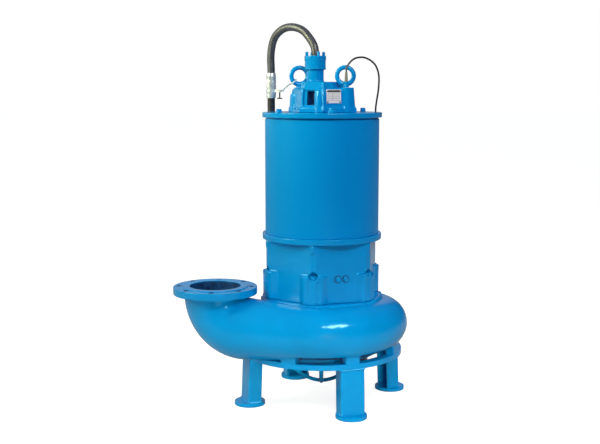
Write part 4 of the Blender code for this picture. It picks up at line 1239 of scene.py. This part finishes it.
def cover_cuts():
    """On each broad side a shallow recess leaning with the face, and a deep bolt pocket in it."""
    levels = ((1.213, -0.0965), (1.277, -0.0915))
    recess = hull("recess", [(x, y, z) for z, inner in levels for y in (inner, -0.130)
                             for x in (-0.041, 0.0105)])
    pocket = moved(prism("pocket", box_outline(-0.016, 0.016, 0.060), 1.217, 1.272),
                   (-0.009, -0.100, 0))
    return [joined(shape.name, [shape, moved(shape, angle=180)]) for shape in (recess, pocket)]


def pocket_walls(x, y, z):
    """The walls of the two bolt pockets, behind the recess, where shade is painted dark."""
    side = -np.sign(y)
    return ((np.abs(side * x + 0.009) < 0.0163) & (np.abs(y) > 0.0695) & (np.abs(y) < 0.0925)
            & (z > 1.2168) & (z < 1.2722))


def foot_screw(x, y):
    """A small socket screw in the cover's foot."""
    low = HEAD_FOOT + 0.0145
    profile = ((0, low + 0.001), (0.0024, low + 0.001), (0.0024, low + 0.0045),
               (0.0046, low + 0.0045), (0.0050, low + 0.0038), (0.0050, low - 0.004),
               (0, low - 0.004))
    return turned("screw", profile, (x, y, 0), 32)


def foot_screws():
    """Three screws along one slanted side of the foot at each end, about evenly spaced."""
    start, stop = np.array((-0.134, -0.018)), np.array((-0.062, -0.0985))
    spots = [start + (stop - start) * t for t in (0.25, 0.62, 1.0)]
    return [foot_screw(*(side * spot)) for spot in spots for side in (1, -1)]


def gland_surface():
    """The gland's turned body: a lip at its foot, a band at its top and a seat for the cable."""
    low, high = CABLE_BOSS_TOP + GAP, GLAND_TOP
    profile = eased(((0, low), (0.0440, low), (0.0440, low + 0.005), (0.0425, low + 0.005),
                     (0.0425, high - 0.020), (0.0440, high - 0.015), (0.0440, high),
                     (0.0175, high), (0.0175, GLAND_SEAT), (0, GLAND_SEAT)),
                    (0, 0.0015, 0.0010, 0.0008, 0.002, 0.002, 0.0022, 0.001, 0.001, 0), 3)
    return turned("gland", profile, (CABLE_X, 0, 0), 160)


def eyebolt_shapes(x, turn):
    """A ring of round bar, p = (R + r cos b) out + r sin b across, and the collar under it."""
    spin, round_ = full_turn(72)[:, None], full_turn(20)[None]
    bar = EYE_BAR * (1 + 0.14 * np.clip(-np.sin(spin), 0, 1) ** 2)
    reach = EYE_RING + bar * np.cos(round_)
    across = np.broadcast_to(bar * np.sin(round_), reach.shape)
    points = np.stack((reach * np.cos(spin), across, reach * np.sin(spin)), -1)
    ring = grid_mesh("ring", turned_about_z(points, turn) + (x, 0, EYE_HEIGHT), True, True)
    low = BOSS_TOP + GAP
    collar = turned("collar", ((0, low), (0.0145, low), (0.0145, low + 0.003), (0.009, low + 0.011),
                               (0.007, low + 0.018), (0, low + 0.018)), (x, 0, 0), 48)
    return [ring, collar]


def bolt_mesh(across, head, washer_radius, washer):
    """A washer, and a head whose edge is the nearer of its six flats and a chamfer cone.

    Flats: r = (across / 2) / cos(d), d from the middle of a flat.
    """
    ring = turned("washer", eased(((0, 0), (washer_radius, 0), (washer_radius, washer),
                                   (0, washer)), washer * 0.3, 2), steps=48)
    turn = full_turn(96)
    off = (turn + np.pi / 6) % (np.pi / 3) - np.pi / 6
    flats = across / 2 / np.cos(off)
    height = washer + head * np.array((-0.05, 0.5, 0.8, 0.86, 0.91, 0.96, 1.0, 1.0))
    cone = across / 2 * np.array((1.2, 1.2, 1.2, 1.12, 1.06, 1.0, 0.94, 0.5))
    radius = np.minimum(flats[:, None], cone[None])
    points = round_points(radius, turn[:, None], height)
    start = np.zeros_like(points[:, :1]) + (0, 0, height[0])
    stop = np.zeros_like(points[:, :1]) + (0, 0, height[-1])
    return joined("bolt", [ring, grid_mesh("head", np.concatenate((start, points, stop), 1), True)])


def set_bolts(name, node, bolt, angles, reach, height, middle=0.0):
    """Copies of a bolt round a circle about (middle, 0), each turned to its angle."""
    for number, angle in enumerate(angles, 1):
        seat = polar(reach, angle, height) + (middle, 0, 0)
        piece(f"{name}_{number}", [moved(bolt, seat, angle)], (f"{node}_{number}",), sharp=25)


class PUMP_OT_bolts(bpy.types.Operator):
    """Set the bolts of the housing, the top flange and the cable gland"""

    bl_idname = "pump.bolts"
    bl_label = "Bolts"

    def execute(self, context):
        set_bolts("housing_bolt", "column_bolt", bolt_mesh(0.024, 0.012, 0.015, 0.003),
                  CORNER_ANGLES, COLUMN_BOLT_REACH, LUG_SEAT + GAP)
        set_bolts("top_bolt", "flange_bolt", bolt_mesh(0.019, 0.012, 0.012, 0.003),
                  TOP_BOLT_ANGLES, TOP_BOLT_CIRCLE, HEAD_FOOT)
        plug = eased(((0, HEAD_FOOT), (0.0175, HEAD_FOOT), (0.0175, HEAD_FOOT + 0.009),
                      (0.0150, HEAD_FOOT + 0.010), (0.0125, HEAD_FOOT + 0.011),
                      (0.0125, HEAD_FOOT + 0.020), (0.0070, HEAD_FOOT + 0.020),
                      (0.0060, HEAD_FOOT + 0.015), (0, HEAD_FOOT + 0.015)), 0.0018, 3)
        seat = polar(TOP_BOLT_CIRCLE, TOP_PLUG_ANGLE)
        piece("top_plug", [turned("plug", plug, seat, 64)], ("flange_plug",))
        set_bolts("gland_screw", "gland_bolt", bolt_mesh(0.0105, 0.010, 0.0065, 0.006),
                  (45, 135, 225, 315), GLAND_BOLT_REACH, GLAND_TOP + GAP, CABLE_X)
        return {"FINISHED"}


def nameplate_frame():
    """Middle of the plate, and its directions along, up and out of the cover's leaning face."""
    flat_x, flat_y = COVER_FLAT
    flat, point = np.array((flat_x, -flat_y, HEAD_FOOT)), np.array((COVER_POINT, 0.0, HEAD_FOOT))
    lean = np.array((flat_x * COVER_TAPER, -flat_y * COVER_TAPER, COVER_EAVES)) - flat
    along = (point - flat) / np.linalg.norm(point - flat)
    out = np.cross(along, lean)
    out /= np.linalg.norm(out)
    rise = np.cross(out, along)
    return flat + along * 0.047 + rise * 0.064 + out * GAP, along, rise, out


def on_plate(u, v, level):
    """Points over the plate: middle + u along + v rise + level out."""
    middle, along, rise, out = nameplate_frame()
    return middle + u * along + v * rise + level * out


def plate_shape(name, low_u, high_u, low_v, high_v, lift, thick):
    """A thin plate on the cover's face, with rounded corners and eased edges."""
    corners = ((low_u, low_v), (high_u, low_v), (high_u, high_v), (low_u, high_v))
    outline = eased(corners, 0.003, 5, closed=True)
    centre = np.array(((low_u + high_u) / 2, (low_v + high_v) / 2))
    high = lift + thick
    levels = ((0, lift), (1, lift), (1, lift + thick * 0.7), (0.985, high), (0, high))
    rows = [(centre + (outline - centre) * scale, level) for scale, level in levels]
    points = np.stack([on_plate(flat[:, :1], flat[:, 1:], level) for flat, level in rows])
    return grid_mesh(name, points, False, True)


def rivet_shape(u, v, lift, radius):
    """A low dome: height = h (1 - (r / R)^2)."""
    t = np.linspace(0, 1, 6)
    dome = np.stack((radius * t, lift + 0.4 * radius * (1 - t**2)), 1)
    turn = full_turn(20)[:, None]
    profile = np.vstack((dome, (radius, 0), (0, 0)))
    place_u = (u + profile[:, 0] * np.cos(turn))[..., None]
    place_v = (v + profile[:, 0] * np.sin(turn))[..., None]
    return grid_mesh("rivet", on_plate(place_u, place_v, profile[:, 1:]), True)


class PUMP_OT_head(bpy.types.Operator):
    """Cast the head cover, and fit the cable boss, gland, eyebolts and the bare nameplate"""

    bl_idname = "pump.head"
    bl_label = "Head"

    def execute(self, context):
        grain = context.scene.pump_sizes.cover_grain
        body = cut(cast("cover", cover_shapes(), grain, 3), cover_cuts())
        # The pockets' walls take painted shade.
        paint_shade_inside(piece("cover_casting", [body], ("head_cover",)), pocket_walls)
        piece("cover_screws", foot_screws())
        boss = eased(((0, COVER_TOP + GAP), (0.0375, COVER_TOP + GAP), (0.0345, COVER_TOP + 0.006),
                      (0.0345, CABLE_BOSS_TOP - 0.004), (0.0365, CABLE_BOSS_TOP - 0.003),
                      (0.0365, CABLE_BOSS_TOP), (0, CABLE_BOSS_TOP)), 0.0015, 3)
        piece("boss_pipe", [turned("boss", boss, (CABLE_X, 0, 0), 128)], ("cable_boss",))
        piece("gland_casting", [gland_surface()], ("cable_gland",))
        inner, outer, high = 0.0163, 0.0172, GLAND_TOP - 0.002
        ring = eased(((inner, GLAND_SEAT), (outer, GLAND_SEAT), (outer, high), (inner, high)),
                     0.0004, 2, closed=True)
        packing = turned("packing", ring, (CABLE_X, 0, 0), 48, True)
        piece("gland_packing", [packing], (), "tie")
        for name, x, turn in EYE_TURNS:
            body = cast(name, eyebolt_shapes(x, turn), 0.0011, 3)
            piece(name.replace("bolt", "_ring"), [body], (name,))
        plate = plate_shape("plate", -0.032, 0.032, -PLATE_HALF, PLATE_HALF, 0, PLATE_THICK)
        piece("plate_blank", [plate], ("nameplate",), "plate")
        wide = (-PLATE_HALF, PLATE_HALF)
        strip = plate_shape("strip", *wide, 0.0165, 0.0245, PLATE_THICK, 0.0003)
        rivets = [rivet_shape(u, v, PLATE_THICK, 0.0032) for u in wide for v in (0.0205, -0.0225)]
        rules = [plate_shape("rule", *wide, v - 0.0005, v + 0.0005, PLATE_THICK, 0.0002)
                 for v in (0.0125, 0.0055, -0.0015, -0.0085, -0.0155)]
        rules.append(plate_shape("rule", -0.0055, -0.0045, -0.0155, 0.0125, PLATE_THICK, 0.0003))
        piece("plate_strip", [strip, *rivets], (), "black")
        piece("plate_rules", rules, (), "black")
        return {"FINISHED"}


class PUMP_OT_fittings(bpy.types.Operator):
    """Fit the sensor's gland and boot, and the grip that ties the power cable to its eyebolt"""

    bl_idname = "pump.fittings"
    bl_label = "Sensor entry and cable grip"

    def execute(self, context):
        x, y = SENSOR_GLAND
        centre = (x, y, 0)
        gland = eased(((0, BOSS_TOP + GAP), (0.0095, BOSS_TOP + GAP), (0.0095, BOSS_TOP + 0.010),
                       (0.0075, BOSS_TOP + 0.011), (0.0075, SENSOR_NUT_TOP), (0, SENSOR_NUT_TOP)),
                      0.001, 3)
        piece("sensor_nut", [turned("nut", gland, centre, 48)], ("sensor_gland",))
        height = np.linspace(SENSOR_NUT_TOP + GAP, BOOT_TOP, 60)
        t = (height - height[0]) / (height[-1] - height[0])
        ribs = 0.0004 * np.sin(t * 7 * 2 * np.pi)
        radius = 0.0071 - 0.0022 * t + ribs * (t < 0.95)
        profile = np.vstack(((0, height[0]), np.stack((radius, height), 1), (0, height[-1])))
        piece("sensor_sleeve", [turned("boot", profile, centre, 48)], ("sensor_boot",), "boot")
        self.grip()
        return {"FINISHED"}

    def grip(self):
        """A ribbed clamp, a lug for its screw, and a bent rod hooked to the eyebolt."""
        x, y = POWER_DROP
        t = np.linspace(0, 1, 90)
        height = GRIP_LOW + (GRIP_HIGH - GRIP_LOW) * t
        swell = np.minimum(1, np.minimum(t, 1 - t) * 9)
        radius = 0.0183 + 0.0020 * swell + 0.0002 * np.sin(t * 10 * np.pi) * swell
        inner = np.array(((0.0166, GRIP_HIGH), (0.0166, GRIP_LOW)))
        profile = np.vstack((np.stack((radius, height), 1), inner))
        sleeve = turned("sleeve", profile, (x, y, 0), 64, True)
        outline = eased(box_outline(x + 0.018, x + GRIP_LUG, 0.014), 0.003, 3, closed=True)
        lug = moved(prism("lug", outline, 1.267, 1.277), (0, y, 0))
        piece("grip_sleeve", [sleeve, lug], ("cable_grip",), "zinc")
        screw_x = x + 0.0395
        height = np.linspace(SCREW_LOW, SCREW_HIGH, 120)
        thread = 0.0028 + 0.0003 * np.sin(height / 0.0015 * 2 * np.pi)
        profile = np.vstack(((0, SCREW_LOW), np.stack((thread, height), 1), (0, SCREW_HIGH)))
        shank = turned("shank", profile, (screw_x, y, 0), 32)
        bar_line = np.array([(screw_x + 0.011 * s, y, 1.241) for s in np.linspace(-1, 1, 15)])
        bar = carried("bar", bar_line, 0.0026, 14, False)
        piece("grip_bolt", [shank, bar], ("grip_screw",), "screw")
        rod = carried("rod", hook_line(), ROD_RADIUS, 16, False)
        piece("grip_hook", [rod], ("grip_rod",), "zinc")


def hook_line():
    """The rod's line: from the grip's lug, up to the left eyebolt, and round its bar."""
    turn = math.radians(EYE_TURNS[0][2])
    out = np.array((-math.cos(turn), -math.sin(turn), -1)) / math.sqrt(2)
    back = np.array((-math.sin(turn), math.cos(turn), 0))
    held = np.array((-BOSS_REACH, 0, EYE_HEIGHT)) + out * EYE_RING
    reach = EYE_BAR + ROD_RADIUS + 2 * GAP
    spin = np.radians(-20 - 34 * np.arange(8))[:, None]
    hook = held + reach * (np.cos(spin) * out + np.sin(spin) * back)
    start = np.array((POWER_DROP[0] + GRIP_LUG + GAP, POWER_DROP[1], 1.272))
    route = np.vstack((start, start + (0.006, 0, 0), (-0.193, 0.050, 1.282),
                       (-0.158, 0.028, 1.300), hook))
    return smooth_route(route, 0.004)


# Studio


def area_light(name, location, target, size, power, tint="#FFFFFF", spread=180):
    light = bpy.data.lights.new(name, "AREA")
    light.shape = "RECTANGLE"
    light.size, light.size_y = size
    light.energy = power
    light.color = linear(tint)[:3]
    light.spread = math.radians(spread)
    obj = put(name, light)
    obj.location = location
    direction = Vector(target) - Vector(location)
    obj.rotation_euler = direction.to_track_quat("-Z", "Y").to_euler()
    return obj


def floor_material():
    """Matt white studio paper: even, with a faint soft tooth."""
    made = finish("matt studio paper", linear("#AAAAAA"), (
        {"size": 0.6, "detail": 2, "shades": (linear("#A6A6A6"), linear("#AEAEAE")),
         "span": (0, 1)},
    ), Roughness=0.9, Emission_Color=(1.0, 1.0, 1.0, 1.0))
    tree = made.node_tree
    seen = add_node(tree, "ShaderNodeLightPath").outputs["Is Camera Ray"]
    white = add_node(tree, "ShaderNodeMapRange", {"Value": seen, "To Max": 0.85})
    strength = tree.nodes["Principled BSDF"].inputs["Emission Strength"]
    tree.links.new(white.outputs["Result"], strength)
    return made


class PUMP_OT_stage(bpy.types.Operator):
    """Lay the pale floor, and set the soft lights and the camera"""

    bl_idname = "pump.stage"
    bl_label = "Studio"

    def execute(self, context):
        scene = context.scene
        reach = np.array((0.0, 0.5, 2.0, 8.0, 60.0))
        mesh = grid_mesh("floor", round_points(reach, full_turn(48)[:, None], 0.0), True)
        if mesh.polygons[0].normal.z < 0:
            mesh.flip_normals()
        mesh.materials.append(floor_material())
        floor = put("floor", mesh)
        area_light("key", (-2.7, -2.2, 2.6), (0, 0, 0.9), (1.2, 2.0), 116, "#FFFFCC")
        area_light("top", (2.1, -1.65, 2.8), (0.1, -0.3, 0.4), (1.6, 0.45), 62, "#FFFFF2")
        low = area_light("low", (1.5, -2.2, 0.5), (0.1, -0.3, 0.1), (1.4, 0.5), 3.2, "#FFFFD4", 32)
        area_light("head", (-1.1, -1.7, 2.1), (0, 0, 1.5), (0.5, 0.5), 2.5, "#FFFFBC", 50)
        back = area_light("back", (0.9, 3.4, 3.0), (0, 0, 0.7), (2.0, 2.0), 60)
        low.visible_glossy = back.visible_glossy = False
        self.world(scene)
        camera = bpy.data.cameras.new("camera")
        camera.lens = CAMERA_LENS
        camera.sensor_width = 36
        obj = put("camera", camera)
        obj.location = CAMERA_PLACE
        obj.rotation_euler = [math.radians(turn) for turn in CAMERA_TURN]
        scene.camera = obj
        scene.view_settings.view_transform = "Standard"
        return {"FINISHED"}

    def world(self, scene):
        """A white backdrop, a dome for light, and another for reflections.

        The dome for light is dim, and brighter above on the left. The one for reflections is
        dark, with a white window on the left and a dimmer one low at the back.
        """
        world = bpy.data.worlds.new("studio")
        scene.world = world
        world.use_nodes = True
        tree = world.node_tree
        tree.nodes.clear()
        direction = add_node(tree, "ShaderNodeTexCoord").outputs["Generated"]
        strengths = []
        for strength, windows in (
            (0.16, (((-0.55, -0.30, 0.78), -0.3, 0.9, 0.56),)),
            (0.02, (((-0.55, -0.30, 0.78), 0.1, 0.9, 0.12), ((-0.97, 0.22, 0.05), 0.78, 0.98, 1.0),
                    ((-0.46, 0.87, 0.20), 0.93, 0.98, 0.38))),
        ):
            for towards, edge, full, bright in windows:
                facing = add_node(tree, "ShaderNodeVectorMath", {0: direction, 1: towards},
                                  operation="DOT_PRODUCT").outputs["Value"]
                strength = add_node(tree, "ShaderNodeMapRange", {
                    "Value": facing, "From Min": edge, "From Max": full,
                    "To Min": strength, "To Max": bright,
                }).outputs["Result"]
            strengths.append(strength)
        ray = add_node(tree, "ShaderNodeLightPath").outputs
        strength = add_node(
            tree, "ShaderNodeMix", {0: ray["Is Glossy Ray"], 2: strengths[0], 3: strengths[1]}
        ).outputs[0]
        dome = add_node(
            tree, "ShaderNodeBackground", {"Color": (0.86, 0.93, 1, 1), "Strength": strength}
        )
        backdrop = add_node(tree, "ShaderNodeBackground", {"Color": (1, 1, 1, 1), "Strength": 1.0})
        mix = add_node(tree, "ShaderNodeMixShader",
                       {0: ray["Is Camera Ray"], 1: dome.outputs["Background"],
                        2: backdrop.outputs["Background"]})
        add_node(tree, "ShaderNodeOutputWorld", {"Surface": mix.outputs["Shader"]})


STEPS = (
    PUMP_OT_stage, PUMP_OT_cables, PUMP_OT_volute, PUMP_OT_base, PUMP_OT_housing,
    PUMP_OT_drum, PUMP_OT_bolts, PUMP_OT_head, PUMP_OT_fittings,
)


class PUMP_PT_panel(bpy.types.Panel):
    bl_label = "Submersible pump"
    bl_idname = "PUMP_PT_panel"
    bl_space_type = "VIEW_3D"
    bl_region_type = "UI"
    bl_category = "Pump"

    def draw(self, context):
        for group in (context.scene.pump_colours, context.scene.pump_sizes):
            for name in group.__annotations__:
                self.layout.prop(group, name)
        for step in STEPS:
            self.layout.operator(step.bl_idname)


CLASSES = (PumpColours, PumpSizes, *STEPS, PUMP_PT_panel)


def register():
    for item in CLASSES:
        bpy.utils.register_class(item)
    bpy.types.Scene.pump_colours = bpy.props.PointerProperty(type=PumpColours)
    bpy.types.Scene.pump_sizes = bpy.props.PointerProperty(type=PumpSizes)


def unregister():
    del bpy.types.Scene.pump_sizes
    del bpy.types.Scene.pump_colours
    for item in reversed(CLASSES):
        bpy.utils.unregister_class(item)


def main():
    register()
    bpy.ops.pump.stage()
    bpy.ops.pump.cables()
    bpy.ops.pump.volute()
    bpy.ops.pump.base()
    bpy.ops.pump.housing()
    bpy.ops.pump.drum()
    bpy.ops.pump.bolts()
    bpy.ops.pump.head()
    bpy.ops.pump.fittings()


if __name__ == "__main__":
    main()
